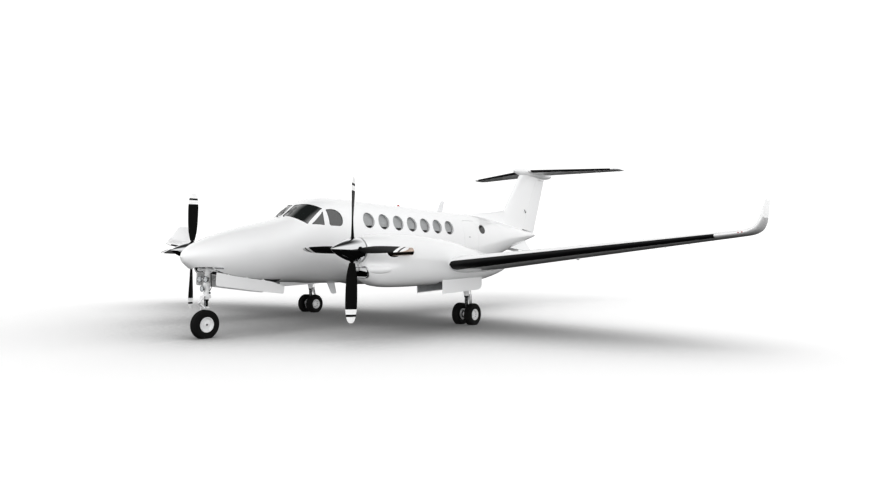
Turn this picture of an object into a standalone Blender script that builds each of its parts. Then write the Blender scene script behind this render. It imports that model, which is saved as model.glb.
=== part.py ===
"""Twin turboprop business aeroplane, parked on its landing gear.

Metres, +Z up, nose towards -Y, port (left) side towards +X. The origin is on
the ground under the middle of the aeroplane. A station is a distance aft of
the nose tip, and heights are above the ground. The propellers are feathered.
"""

import math

import bmesh
import bpy
from mathutils import Matrix, Vector

# The whole aeroplane
LENGTH = 14.22
NOSE_Y = -LENGTH / 2
SIT = math.radians(1.84)  # nose up, as it sits on its gear
SEAT_GAP = 0.0003  # between pieces that touch
RUN_GAP = 0.006  # round a piece that moves
END_GAP = 0.014  # at the ends of a surface on a skewed hinge
PORT = 1
STARBOARD = -1

# Fuselage sections: station, top, bottom, half width, height of the widest
# point, squareness above it, squareness below it
FUSELAGE = (
    (0.00, 1.575, 1.530, 0.030, 1.550, 2.00, 2.00),
    (0.03, 1.650, 1.462, 0.100, 1.552, 2.00, 2.00),
    (0.10, 1.722, 1.395, 0.175, 1.555, 2.00, 2.00),
    (0.20, 1.788, 1.318, 0.245, 1.560, 2.00, 2.00),
    (0.35, 1.858, 1.226, 0.325, 1.560, 2.00, 2.00),
    (0.55, 1.938, 1.155, 0.395, 1.560, 2.00, 2.00),
    (0.90, 2.050, 1.086, 0.475, 1.580, 2.05, 2.05),
    (1.30, 2.150, 1.040, 0.545, 1.620, 2.10, 2.10),
    (1.75, 2.250, 1.018, 0.610, 1.660, 2.15, 2.15),
    (2.25, 2.380, 1.005, 0.655, 1.720, 2.45, 2.20),
    (2.62, 2.640, 0.985, 0.690, 1.760, 2.65, 2.25),
    (2.85, 2.760, 0.965, 0.708, 1.790, 2.75, 2.30),
    (3.10, 2.825, 0.950, 0.722, 1.810, 2.80, 2.35),
    (3.40, 2.852, 0.938, 0.735, 1.820, 2.80, 2.40),
    (3.80, 2.855, 0.930, 0.742, 1.830, 2.80, 2.40),
    (4.20, 2.840, 0.920, 0.745, 1.820, 2.80, 2.40),
    (5.55, 2.798, 0.878, 0.745, 1.780, 2.80, 2.40),
    (7.10, 2.750, 0.845, 0.745, 1.740, 2.80, 2.40),
    (7.55, 2.737, 0.858, 0.745, 1.742, 2.80, 2.40),
    (8.00, 2.722, 0.885, 0.745, 1.750, 2.75, 2.40),
    (8.65, 2.702, 0.990, 0.730, 1.780, 2.60, 2.35),
    (9.30, 2.675, 1.162, 0.655, 1.860, 2.45, 2.25),
    (10.0, 2.620, 1.360, 0.555, 1.950, 2.25, 2.15),
    (10.6, 2.550, 1.530, 0.465, 2.030, 2.10, 2.10),
    (11.5, 2.430, 1.768, 0.325, 2.090, 2.00, 2.00),
    (12.3, 2.315, 1.972, 0.190, 2.140, 2.00, 2.00),
    (12.9, 2.235, 2.112, 0.080, 2.170, 2.00, 2.00),
    (13.02, 2.200, 2.145, 0.030, 2.170, 2.00, 2.00),
)
HULL_SIDES = 24
ROOM_SIDES = 12  # of the inner faces
WALL = 0.055
NOSE_JOINT = 1.75
CABIN_JOINT = 3.80
AFT_JOINT = 7.55
TAIL_JOINT = 10.60

# Windows
WINDOW_COUNT = 7
WINDOW_FIRST = 4.243
WINDOW_PITCH = 0.5087
WINDOW_HEIGHT = 2.352
WINDOW_FALL = 0.0150  # each window is this much lower than the one ahead
WINDOW_HALF_WIDTH = 0.193
WINDOW_HALF_HEIGHT = 0.185
AFT_WINDOW = (8.905, 2.255)
AFT_WINDOW_HALF_WIDTH = 0.175
AFT_WINDOW_HALF_HEIGHT = 0.130
GLASS = 0.012
GLASS_GAP = 0.0005
PANE_GAP = 0.0008  # round the cockpit's panes
WINDSHIELD_OUTLINE = ((0.035, 2.330, 2.392), (0.30, 2.345, 2.362), (0.455, 2.400, 2.305),
                      (0.595, 2.510, 2.219), (0.560, 2.943, 2.572), (0.38, 2.752, 2.654),
                      (0.035, 2.622, 2.662))
COCKPIT_CENTRE = (0.0, 3.30, 1.90)  # the windshields' edges point at it
TRIANGLE_OUTLINE = ((2.925, 2.500), (2.600, 2.222), (2.905, 2.212))
SIDE_WINDOW_OUTLINE = ((3.020, 2.548), (3.210, 2.565), (3.330, 2.530), (3.415, 2.430),
                       (3.425, 2.300), (3.370, 2.200), (3.045, 2.205))

# Airstair door, port side
DOOR_START = 7.95
DOOR_END = 8.63
DOOR_SILL = 1.190
DOOR_TOP = 2.480
DOOR_KNUCKLE = 0.012
DOOR_OPEN = 135.0
STEP_DEPTH = 0.20
STEP_THICK = 0.025

# Cabin
FLOOR_Z = 1.330
FLOOR_THICK = 0.030
FLOOR_START = 2.62
FLOOR_END = 8.72
SEAT_ROWS = (4.62, 5.52, 6.42, 7.22)
SEAT_X = 0.322
SEAT_WIDTH = 0.42

# Wing: x, leading edge station and height, trailing edge station and height,
# thickness as a share of the chord
WING_CENTRE = (
    (0.00, 3.80, 1.070, 6.38, 0.905, 0.155),
    (2.40, 3.86, 1.295, 6.34, 1.165, 0.155),
)
WING_OUTER = (
    (2.86, 4.110, 1.345, 6.340, 1.215, 0.165),
    (8.35, 4.520, 1.895, 5.440, 1.858, 0.120),
)
WING_CAMBER = 0.018
# Winglet: x, leading edge station and height, trailing edge station and
# height, thickness, lean of the section from flat to upright in degrees
WINGLET = (
    (8.58, 4.580, 1.925, 5.465, 1.895, 0.110, 14.0),
    (8.72, 4.680, 1.990, 5.490, 1.980, 0.100, 48.0),
    (8.775, 4.840, 2.120, 5.500, 2.120, 0.095, 76.0),
    (8.822, 5.190, 2.485, 5.465, 2.490, 0.090, 84.0),
)
# Surfaces on the wing: inboard and outboard end, hinge as a share of the chord
INNER_FLAP = (0.98, 2.02, 0.76)
OUTER_FLAP = (3.30, 5.26, 0.76)
AILERON = (5.36, 7.95, 0.77)
PIN_RADIUS = 0.010
PIN_REACH = 0.036
PIN_HOLE = 0.0108
PIN_SIDES = 10
PIVOT_SIDES = 24  # of the steering's pivot, which turns inside its leg

# Nacelle sections round its own centre line: station, top, bottom, half
# width, height of the widest point, squareness above, squareness below
NACELLE_X = 2.615
NACELLE = (
    (1.985, 1.905, 1.400, 0.240, 1.665, 2.00, 2.00),
    (2.045, 1.918, 1.150, 0.275, 1.645, 2.00, 2.90),
    (2.16, 1.940, 1.060, 0.325, 1.610, 2.00, 2.80),
    (2.35, 1.965, 0.990, 0.380, 1.570, 2.00, 2.60),
    (2.68, 1.983, 0.952, 0.425, 1.520, 2.05, 2.50),
    (3.35, 1.972, 0.936, 0.450, 1.460, 2.10, 2.50),
    (4.00, 1.930, 0.936, 0.455, 1.410, 2.10, 2.50),
    (4.60, 1.870, 0.942, 0.445, 1.360, 2.10, 2.50),
    (5.24, 1.755, 0.955, 0.415, 1.310, 2.05, 2.40),
    (5.70, 1.660, 0.978, 0.370, 1.270, 2.00, 2.30),
    (6.13, 1.550, 1.030, 0.305, 1.250, 2.00, 2.10),
    (6.50, 1.445, 1.100, 0.225, 1.240, 2.00, 2.00),
    (6.80, 1.345, 1.170, 0.120, 1.240, 2.00, 2.00),
    (6.94, 1.270, 1.215, 0.040, 1.240, 2.00, 2.00),
)
NACELLE_SIDES = 18
# Waist between the engine's cowl and the chin: depth, where it ends, height, half height
PINCH_DEPTH = 0.30
PINCH_END = 2.85
PINCH_Z = 1.425
PINCH_REACH = 0.085
INTAKE = ((1.95, 0.192, 1.165, 1.350), (2.20, 0.180, 1.165, 1.340), (2.55, 0.120, 1.150, 1.270))
MAIN_DOOR = ((4.07, 0.755), (5.40, 0.790), (5.47, 0.86), (5.50, 1.06), (4.07, 1.06))
MAIN_DOOR_X = (-0.345, 0.335)
MAIN_DOOR_HALF = 0.007

# Engine and propeller, on a thrust line that sits nose up
PROP_HUB = (2.615, 1.82, 1.671)
PROP_RADIUS = 1.3335
SPINNER_TIP = 0.535  # ahead of the blades' plane
SPINNER_BASE = 0.135  # behind it
SPINNER_RADIUS = 0.225
HUB_RADIUS = 0.120
HUB_FRONT = 0.11
HUB_BACK = 0.10
SHANK_RADIUS = 0.052
SHAFT_RADIUS = 0.035
SHAFT_HOLE = 0.0356
ENGINE_RADIUS = 0.235
ENGINE_FRONT = 0.36  # behind the blades' plane
ENGINE_BACK = 2.15
# Blade: radius, chord, thickness as a share of it, angle from the thrust line
BLADE = (
    (0.240, 0.105, 0.55, 50.0),
    (0.330, 0.145, 0.32, 46.0),
    (0.480, 0.192, 0.18, 42.5),
    (0.720, 0.216, 0.12, 37.5),
    (0.980, 0.223, 0.090, 31.5),
    (1.160, 0.200, 0.078, 28.0),
    (1.270, 0.150, 0.072, 27.0),
    (1.3335, 0.050, 0.070, 26.0),
)

# Exhaust stack: sideways from the thrust line, station, height
STACK_ROUTE = ((0.20, 2.46, 1.615), (0.33, 2.48, 1.622), (0.415, 2.56, 1.630),
               (0.460, 2.68, 1.636), (0.490, 2.955, 1.640))
STACK_RADIUS = 0.062
STACK_WALL = 0.006

# Fin: height, leading edge, hinge, trailing edge
FIN_LOW = (2.20, 10.507, 12.022, 12.93)
FIN_TOP = (4.20, 12.130, 13.160, 13.770)
FIN_THICKNESS = 0.105
RUDDER_FOOT = (10.779, 2.535, 12.113, 12.953, 2.255)  # leading edge, hinge, trailing edge
RUDDER_TOP = 4.035
RUDDER_PIN_REACH = 0.060
DORSAL = ((8.60, 2.690, 0.010), (9.30, 2.752, 0.030), (10.0, 2.805, 0.040),
          (10.7, 2.872, 0.046), (11.25, 2.945, 0.050))

# Tailplane: x, leading edge and height, trailing edge and height
TAIL_ROOT = (0.00, 12.380, 4.300, 13.590, 4.235)
TAIL_TIP = (2.69, 13.455, 4.262, 14.040, 4.234)
TAIL_END = (2.805, 13.560, 4.258, 14.050, 4.236)
TAIL_THICKNESS = 0.095
ELEVATOR = (0.19, 2.66, 0.60)
BULLET = ((11.70, 0.012), (11.76, 0.045), (11.95, 0.082), (12.40, 0.115), (13.00, 0.125),
          (13.50, 0.121), (13.90, 0.098), (14.12, 0.062), (14.20, 0.030), (14.22, 0.010))
BULLET_Z = 4.255
BULLET_SAG = 1.25  # how much deeper its lower half is
BULLET_SIDES = 12

# Nose gear
WHEEL_SIDES = 18
NOSE_WHEEL = (0.486, 0.262)
NOSE_TYRE_RADIUS = 0.2795
NOSE_TYRE_WIDTH = 0.171
NOSE_STRUT_TOP = (0.555, 1.360)
NOSE_WELL = ((-0.30, 0.40, 0.90), (0.30, 2.05, 1.360))
NOSE_COLLAR_Z = 0.740
NOSE_LEG_RADIUS = 0.055
NOSE_PISTON_RADIUS = 0.035
LAMP_X = 0.105
LAMP_REACH = 0.115
PIVOT_GAP = 0.0008

# Main gear
MAIN_WHEEL = (5.383, 0.230)
MAIN_TYRE_RADIUS = 0.2475
MAIN_TYRE_WIDTH = 0.170
TWIN_OFFSET = 0.165
MAIN_WELL = ((-0.30, 4.02, 0.80), (0.30, 5.56, 1.300))

# Bodies whose cuts run so close to their own edges that they need the other solver
SHALLOW_CUTS = ("outer_wing_left", "outer_wing_right", "fin", "nose_leg")

PAINTS = {
    "gloss_white": ((0.86, 0.87, 0.88), 0.0, 0.25),
    "black_rubber": ((0.02, 0.02, 0.02), 0.0, 0.60),
    "black_blade": ((0.02, 0.02, 0.022), 0.0, 0.40),
    "polished_metal": ((0.80, 0.80, 0.82), 1.0, 0.12),
    "chrome": ((0.85, 0.85, 0.86), 1.0, 0.05),
    "gear_white": ((0.80, 0.81, 0.82), 0.0, 0.35),
    "tinted_glass": ((0.10, 0.12, 0.12), 0.0, 0.05),
    "tyre_rubber": ((0.025, 0.025, 0.025), 0.0, 0.75),
    "heat_steel": ((0.40, 0.33, 0.28), 1.0, 0.35),
    "grey_leather": ((0.55, 0.53, 0.50), 0.0, 0.60),
    "panel_black": ((0.04, 0.04, 0.045), 0.0, 0.55),
    "floor_carpet": ((0.25, 0.25, 0.27), 0.0, 0.90),
}


def clear_scene():
    """Remove what the file starts with."""
    for obj in list(bpy.data.objects):
        bpy.data.objects.remove(obj, do_unlink=True)


def new_collection(name):
    """A collection in the scene."""
    made = bpy.data.collections.new(name)
    bpy.context.scene.collection.children.link(made)
    return made


def paint(name):
    """The material of that name, made once."""
    found = bpy.data.materials.get(name)
    if found:
        return found
    colour, metallic, roughness = PAINTS[name]
    made = bpy.data.materials.new(name)
    made.use_nodes = True
    shader = made.node_tree.nodes["Principled BSDF"]
    shader.inputs["Base Color"].default_value = (*colour, 1.0)
    shader.inputs["Metallic"].default_value = metallic
    shader.inputs["Roughness"].default_value = roughness
    return made


def object_from(shape, name, finish):
    """Turn a bmesh into an object: a part with a finish, a cutter without."""
    bmesh.ops.recalc_face_normals(shape, faces=shape.faces)
    mesh = bpy.data.meshes.new(name)
    shape.to_mesh(mesh)
    shape.free()
    obj = bpy.data.objects.new(name, mesh)
    if finish:
        mesh.materials.append(paint(finish))
        parts.objects.link(obj)
    else:
        obj.hide_render = True
        obj.display_type = "WIRE"
        cutters.objects.link(obj)
    return obj


def combine(target, other, operation):
    """A Boolean of two objects, kept as a modifier."""
    step = target.modifiers.new(other.name, "BOOLEAN")
    step.operation = operation
    step.object = other
    step.solver = "MANIFOLD" if target.name in SHALLOW_CUTS else "EXACT"


def cut(target, *tools):
    """Take each tool out of the target."""
    for tool in tools:
        combine(target, tool, "DIFFERENCE")


def keep_inside(target, tool):
    """Keep only what lies inside the tool."""
    combine(target, tool, "INTERSECT")


def fuse(target, *pieces):
    """Join pieces to the target."""
    for piece in pieces:
        combine(target, piece, "UNION")


def skin(shape, rows, matched=True):
    """Faces between rows. Matched ones are triangles, split alike in every body."""
    count = len(rows[0])
    for near, far in zip(rows, rows[1:]):
        for k in range(count):
            after = (k + 1) % count
            if matched:
                shape.faces.new((near[k], near[after], far[after]))
                shape.faces.new((near[k], far[after], far[k]))
            else:
                shape.faces.new((near[k], near[after], far[after], far[k]))


def loft(name, rings, finish=None, matched=False):
    """A closed body through rings of equally many points."""
    shape = bmesh.new()
    rows = [[shape.verts.new(point) for point in ring] for ring in rings]
    skin(shape, rows, matched)
    shape.faces.new(rows[0])
    shape.faces.new(rows[-1])
    return object_from(shape, name, finish)


def tube(name, outer, inner, finish=None):
    """A tube between outer rings and inner rings, which may have fewer points."""
    shape = bmesh.new()
    outside = [[shape.verts.new(point) for point in ring] for ring in outer]
    inside = [[shape.verts.new(point) for point in ring] for ring in inner]
    skin(shape, outside)
    skin(shape, inside)
    share = len(outside[0]) // len(inside[0])
    for end in (0, -1):
        rim = outside[end] + outside[end][:1]
        edge = inside[end] + inside[end][:1]
        for k in range(len(inside[end])):
            first = k * share
            fan = rim[first:first + share + 1]
            shape.faces.new((*fan, edge[k + 1], edge[k]))
    return object_from(shape, name, finish)


def box(name, low, high, finish=None):
    """A block between two corners."""
    low = Vector(low)
    high = Vector(high)
    shape = bmesh.new()
    bmesh.ops.create_cube(shape, size=1.0)
    bmesh.ops.scale(shape, vec=high - low, verts=shape.verts)
    bmesh.ops.translate(shape, vec=(low + high) / 2, verts=shape.verts)
    return object_from(shape, name, finish)


def rod(name, start, end, radius, finish=None, sides=12, end_radius=None):
    """A round bar, or a cone, from one point to another."""
    start = Vector(start)
    end = Vector(end)
    along = end - start
    shape = bmesh.new()
    bmesh.ops.create_cone(shape, cap_ends=True, segments=sides, radius1=radius,
                          radius2=radius if end_radius is None else end_radius,
                          depth=along.length)
    turn = Vector((0, 0, 1)).rotation_difference(along).to_matrix().to_4x4()
    bmesh.ops.transform(shape, matrix=Matrix.Translation((start + end) / 2) @ turn,
                        verts=shape.verts)
    return object_from(shape, name, finish)


def turned(name, profile, place, finish=None, sides=32):
    """A profile of (radius, distance) pairs turned about the Z axis of place."""
    shape = bmesh.new()
    rows = []
    for radius, distance in profile:
        ring = []
        for k in range(sides):
            angle = 2 * math.pi * k / sides
            ring.append(shape.verts.new(
                place @ Vector((radius * math.cos(angle), radius * math.sin(angle), distance))))
        rows.append(ring)
    closed = profile[0] == profile[-1]
    if closed:
        for vert in rows[-1]:
            shape.verts.remove(vert)
        rows[-1] = rows[0]
    for near, far in zip(rows, rows[1:]):
        for k in range(sides):
            after = (k + 1) % sides
            shape.faces.new((near[k], near[after], far[after], far[k]))
    if not closed:
        shape.faces.new(rows[0])
        shape.faces.new(rows[-1])
    return object_from(shape, name, finish)


def pipe(name, route, radius, finish=None):
    """A round pipe along a route, as a closed mesh."""
    curve = bpy.data.curves.new(name, "CURVE")
    curve.dimensions = "3D"
    curve.bevel_depth = radius
    curve.bevel_resolution = 1
    curve.use_fill_caps = True
    spline = curve.splines.new("POLY")
    spline.points.add(len(route) - 1)
    for point, place in zip(spline.points, route):
        point.co = (*place, 1.0)
    guide = bpy.data.objects.new(name + "_guide", curve)
    cutters.objects.link(guide)
    seen = guide.evaluated_get(bpy.context.evaluated_depsgraph_get())
    mesh = bpy.data.meshes.new_from_object(seen)
    shape = bmesh.new()
    shape.from_mesh(mesh)
    bmesh.ops.remove_doubles(shape, verts=shape.verts, dist=0.00005)
    bpy.data.objects.remove(guide, do_unlink=True)
    return object_from(shape, name, finish)


def at(x, station, z):
    """A point given by its station."""
    return Vector((x, NOSE_Y + station, z))


def column_at(table, column, place):
    """One column of a section table at any place, on a curve with no overshoot."""
    places = [row[0] for row in table]
    values = [row[column] for row in table]
    place = min(max(place, places[0]), places[-1])
    steps = [(values[k + 1] - values[k]) / (places[k + 1] - places[k])
             for k in range(len(places) - 1)]
    here = max(k for k in range(len(steps)) if places[k] <= place)

    def slope(k):
        if k == 0:
            return steps[0]
        if k == len(steps):
            return steps[-1]
        if steps[k - 1] * steps[k] <= 0:
            return 0.0
        return 2 * steps[k - 1] * steps[k] / (steps[k - 1] + steps[k])

    width = places[here + 1] - places[here]
    t = (place - places[here]) / width
    return ((1 + 2 * t) * (1 - t) ** 2 * values[here]
            + t * (1 - t) ** 2 * width * slope(here)
            + t * t * (3 - 2 * t) * values[here + 1]
            + t * t * (t - 1) * width * slope(here + 1))


def oval(section, centre_x, sides, inset):
    """The ring of one section, drawn in by an inset."""
    station, top, bottom, half_width, waist, above, below = section
    ring = []
    for k in range(sides):
        angle = 2 * math.pi * k / sides
        across = math.cos(angle)
        up = math.sin(angle)
        power = 2 / (above if up >= 0 else below)
        rise = (top - inset - waist) if up >= 0 else (waist - bottom - inset)
        x = (half_width - inset) * math.copysign(abs(across) ** power, across)
        z = waist + rise * math.copysign(abs(up) ** power, up)
        ring.append(at(centre_x + x, station, z))
    return ring


def body_ring(table, station, centre_x, sides, inset):
    """A ring at any station, on the flat facets between the table's rings."""
    places = [row[0] for row in table]
    here = max(k for k in range(len(places) - 1) if places[k] <= station)
    share = (station - places[here]) / (places[here + 1] - places[here])
    near = oval(table[here], centre_x, sides, inset)
    if share == 0:
        return near
    far = oval(table[here + 1], centre_x, sides, inset)
    return [a.lerp(b, share) for a, b in zip(near, far)]


def body_rings(table, start, end, centre_x, sides, inset=0.0):
    """Rings from one station to another."""
    stations = [start] + [row[0] for row in table if start < row[0] < end] + [end]
    return [body_ring(table, station, centre_x, sides, inset) for station in stations]


def hull_rings(start, end, inset=0.0):
    """Rings of the fuselage, with fewer sides on the faces inside it."""
    sides = ROOM_SIDES if inset > WALL / 2 else HULL_SIDES
    return body_rings(FUSELAGE, start, end, 0.0, sides, inset)


def hull_layer(name, start, end, outer, inner, finish=None):
    """A layer of the fuselage wall, between two depths."""
    return tube(name, hull_rings(start, end, outer), hull_rings(start, end, inner), finish)


def hull_half_width(station, z):
    """Half the fuselage's width at a height below its widest point."""
    top, bottom, half_width, waist, above, below = [
        column_at(FUSELAGE, column, station) for column in range(1, 7)]
    rise, power = (top - waist, above) if z > waist else (waist - bottom, below)
    return half_width * (1 - (abs(z - waist) / rise) ** power) ** (1 / power)


def prism(name, outline, axis, start, end, finish=None):
    """A flat outline drawn out along X, Y or Z.

    The outline's points are (y, z), (x, z) or (x, y), y as a station.
    """
    def place(point, along):
        if axis == "X":
            return at(along, point[0], point[1])
        if axis == "Y":
            return at(point[0], along, point[1])
        return at(point[0], point[1], along)
    return loft(name, [[place(p, start) for p in outline],
                       [place(p, end) for p in outline]], finish)


def ellipse(centre, half_width, half_height, sides=10):
    """An ellipse's points."""
    return [(centre[0] + half_width * math.cos(2 * math.pi * k / sides),
             centre[1] + half_height * math.sin(2 * math.pi * k / sides))
            for k in range(sides)]


def shrink(outline, gap):
    """An outline drawn in towards its centre, to leave a gap."""
    middle = (sum(p[0] for p in outline) / len(outline),
              sum(p[1] for p in outline) / len(outline))
    drawn = []
    for p in outline:
        reach = math.hypot(p[0] - middle[0], p[1] - middle[1])
        share = 1 - gap / reach
        drawn.append((middle[0] + (p[0] - middle[0]) * share,
                      middle[1] + (p[1] - middle[1]) * share))
    return drawn


def rounded(low, high, radius, steps=3):
    """A rectangle with round corners."""
    corners = ((high[0] - radius, high[1] - radius, 0), (low[0] + radius, high[1] - radius, 90),
               (low[0] + radius, low[1] + radius, 180), (high[0] - radius, low[1] + radius, 270))
    outline = []
    for x, y, start in corners:
        for k in range(steps + 1):
            angle = math.radians(start + 90 * k / steps)
            outline.append((x + radius * math.cos(angle), y + radius * math.sin(angle)))
    return outline


def foil_depths(share, thickness, camber):
    """Height of an aerofoil's upper and lower side at a share of its chord."""
    half = 5 * thickness * (0.2969 * math.sqrt(share) - 0.1260 * share - 0.3516 * share ** 2
                            + 0.2843 * share ** 3 - 0.1015 * share ** 4)
    line = 4 * camber * share * (1 - share)
    return line + half, line - half


def foil_ring(lead, trail, up, thickness, camber=0.0, steps=7):
    """A closed aerofoil outline, from the trailing edge over the top and back."""
    chord = trail - lead
    shares = [(1 - math.cos(math.pi * k / steps)) / 2 for k in range(steps + 1)]
    over = []
    under = []
    for share in shares:
        high, low = foil_depths(share, thickness, camber)
        over.append(lead + chord * share + up * (chord.length * high))
        under.append(lead + chord * share + up * (chord.length * low))
    return over[::-1] + under[1:]


def hinge_point(lead, trail, up, thickness, camber, hinge):
    """The centre and radius of a surface's round nose at its hinge line."""
    chord = trail - lead
    high, low = foil_depths(hinge, thickness, camber)
    centre = lead + chord * hinge + up * (chord.length * (high + low) / 2)
    return centre, chord.length * (high - low) / 2


def surface_ring(lead, trail, up, thickness, camber, hinge, steps=4, arc=6):
    """The outline of a hinged surface: a round nose and the aerofoil's tail."""
    chord = trail - lead
    centre, radius = hinge_point(lead, trail, up, thickness, camber, hinge)
    ahead = -chord.normalized()
    over = []
    under = []
    for k in range(steps, 0, -1):
        share = hinge + (1 - hinge) * k / steps
        high, low = foil_depths(share, thickness, camber)
        over.append(lead + chord * share + up * (chord.length * high))
        under.append(lead + chord * share + up * (chord.length * low))
    nose = []
    for k in range(arc + 1):
        angle = math.pi * k / arc
        nose.append(centre + up * (radius * math.cos(angle)) + ahead * (radius * math.sin(angle)))
    return over + nose + under[::-1]


def mix_rows(low_row, high_row, place):
    """A row between two rows of a table."""
    share = (place - low_row[0]) / (high_row[0] - low_row[0])
    return tuple(a + (b - a) * share for a, b in zip(low_row, high_row))


def wing_edges(table, x, side):
    """Leading and trailing edge points and the thickness of the wing at x."""
    row = mix_rows(table[0], table[1], x)
    lead = at(side * row[0], row[1], row[2])
    trail = at(side * row[0], row[3], row[4])
    return lead, trail, row[5]


def wing_surface(name, table, span, side, wing, finish):
    """A flap or aileron with hinge pins, its bay and pin holes cut in the wing.

    Returns the surface; its origin is on its hinge line.
    """
    up = Vector((0, 0, 1))
    start, end, hinge = span
    rings = []
    centres = []
    bay_ends = []
    for x, gap in ((start, -END_GAP), (end, END_GAP)):
        lead, trail, thickness = wing_edges(table, x, side)
        rings.append(surface_ring(lead, trail, up, thickness, WING_CAMBER, hinge))
        centre, radius = hinge_point(lead, trail, up, thickness, WING_CAMBER, hinge)
        centres.append(centre)
        edge = centre.x + side * gap
        bay_ends.append((Vector((edge, centre.y - radius - RUN_GAP, 0)),
                         Vector((edge, trail.y + 0.20, 0))))
    surface = loft(name, rings, finish)
    hang(surface, (centres[0] + centres[1]) / 2)
    along = (centres[1] - centres[0]).normalized()
    pin_ends = (centres[0] - along * PIN_REACH, centres[1] + along * PIN_REACH)
    fuse(surface, rod(name + "_pin", *pin_ends, PIN_RADIUS, sides=PIN_SIDES))
    outline = (bay_ends[0][0], bay_ends[1][0], bay_ends[1][1], bay_ends[0][1])
    bay = loft(name + "_bay", [[Vector((p.x, p.y, z)) for p in outline] for z in (0.5, 2.6)])
    hole_ends = (pin_ends[0] - along * 0.002, pin_ends[1] + along * 0.002)
    cut(wing, bay, rod(name + "_hole", *hole_ends, PIN_HOLE, sides=PIN_SIDES))
    return surface


def side_name(side):
    """The side in words."""
    return "left" if side == PORT else "right"


def hang(obj, point):
    """Put an object's origin on its joint's axis, with its shape left in place."""
    obj.data.transform(Matrix.Translation(-point))
    obj.location = point


def make_fuselage():
    """Nose, cockpit, cabin, aft fuselage and tail cone, each its own shell."""
    half = SEAT_GAP / 2
    nose = loft("nose_section", hull_rings(0.0, NOSE_JOINT - half), "gloss_white", matched=True)
    cockpit = hull_layer("cockpit_shell", NOSE_JOINT + half, CABIN_JOINT - half,
                         0.0, WALL, "gloss_white")
    cabin = hull_layer("cabin_shell", CABIN_JOINT + half, AFT_JOINT - half,
                       0.0, WALL, "gloss_white")
    aft = hull_layer("aft_shell", AFT_JOINT + half, TAIL_JOINT - half,
                     0.0, WALL, "gloss_white")
    tail = loft("tail_cone", hull_rings(TAIL_JOINT + half, 13.02), "gloss_white", matched=True)
    low, high = NOSE_WELL
    well = box("nose_well", at(*low), at(*high))
    cut(nose, well)
    cut(cockpit, well)
    for side in (PORT, STARBOARD):
        name = side_name(side)
        plate = prism("strake_" + name,
                      ((11.10, 1.72), (12.30, 2.02), (12.37, 1.62), (12.20, 1.585)),
                      "X", side * 0.10, side * 0.112)
        tilt = Matrix.Rotation(side * math.radians(-28), 4, "Y")
        pivot = Matrix.Translation((side * 0.106, 0, 1.90))
        plate.data.transform(pivot @ tilt @ pivot.inverted())
        fuse(tail, plate)
    return cockpit, cabin, aft, tail


def window_places():
    """Centres of the cabin windows."""
    return [(WINDOW_FIRST + k * WINDOW_PITCH, WINDOW_HEIGHT - k * WINDOW_FALL)
            for k in range(WINDOW_COUNT)]


def make_cabin_windows(cabin, aft):
    """Round cabin windows: holes in the shell, and panes on a strip inside it."""
    for side in (PORT, STARBOARD):
        name = side_name(side)
        near = side * 0.35
        far = side * 0.95
        strip = hull_layer("cabin_windows_" + name, CABIN_JOINT, AFT_JOINT,
                           WALL + SEAT_GAP, WALL + SEAT_GAP + GLASS, "tinted_glass")
        keep_inside(strip, prism("window_strip_" + name,
                                 ((3.95, 2.09), (7.52, 1.98), (7.52, 2.53), (3.95, 2.62)),
                                 "X", near, far))
        panes = hull_layer("window_panes_" + name, CABIN_JOINT, AFT_JOINT,
                           0.006, WALL + SEAT_GAP + GLASS / 2)
        holes = []
        for k, centre in enumerate(window_places()):
            outline = ellipse(centre, WINDOW_HALF_WIDTH, WINDOW_HALF_HEIGHT)
            hole = prism(f"window_hole_{name}_{k + 1}", outline, "X", near, far)
            cut(cabin, hole)
            holes.append(prism(f"window_pane_{name}_{k + 1}", shrink(outline, GLASS_GAP),
                               "X", near, far))
        first = holes[0]
        fuse(first, *holes[1:])
        keep_inside(panes, first)
        fuse(strip, panes)
        outline = ellipse(AFT_WINDOW, AFT_WINDOW_HALF_WIDTH, AFT_WINDOW_HALF_HEIGHT)
        cut(aft, prism("aft_window_hole_" + name, outline, "X", near * 0.6, far))
        pane = hull_layer("aft_window_" + name, 8.65, 9.30, 0.006, WALL - 0.010, "tinted_glass")
        keep_inside(pane, prism("aft_window_pane_" + name, shrink(outline, SEAT_GAP * 1.2),
                                "X", near * 0.6, far))


def windshield_cone(name, side, gap):
    """A windshield's outline drawn out from the middle of the cockpit, less a gap."""
    centre = at(*COCKPIT_CENTRE)
    outline = [at(side * x, station, z) for x, station, z in WINDSHIELD_OUTLINE]
    middle = sum(outline, Vector()) / len(outline)
    outline = [p + (middle - p).normalized() * gap for p in outline]
    return loft(name, [[centre.lerp(p, share) for p in outline] for share in (0.75, 1.20)])


def make_cockpit_glass(cockpit):
    """Two windshields and two windows a side, on a frame of glass inside the shell."""
    glass = hull_layer("cockpit_glass", NOSE_JOINT, CABIN_JOINT, WALL + SEAT_GAP, WALL + SEAT_GAP + GLASS,
                       "tinted_glass")
    keep_inside(glass, box("cockpit_glass_limit", at(-0.80, 2.10, 2.14), at(0.80, 3.52, 2.80)))
    panes = hull_layer("cockpit_panes", NOSE_JOINT, CABIN_JOINT, 0.006, WALL + SEAT_GAP + GLASS / 2)
    shapes = []
    for side in (PORT, STARBOARD):
        name = side_name(side)
        cut(cockpit, windshield_cone("windshield_hole_" + name, side, 0.0))
        shapes.append(windshield_cone("windshield_pane_" + name, side, PANE_GAP))
        for kind, outline in (("triangle", TRIANGLE_OUTLINE), ("side", SIDE_WINDOW_OUTLINE)):
            cut(cockpit, prism(f"{kind}_hole_{name}", outline, "X", side * 0.40, side * 0.90))
            shapes.append(prism(f"{kind}_pane_{name}", shrink(outline, PANE_GAP),
                                "X", side * 0.40, side * 0.90))
    fuse(shapes[0], *shapes[1:])
    keep_inside(panes, shapes[0])
    fuse(glass, panes)


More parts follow.
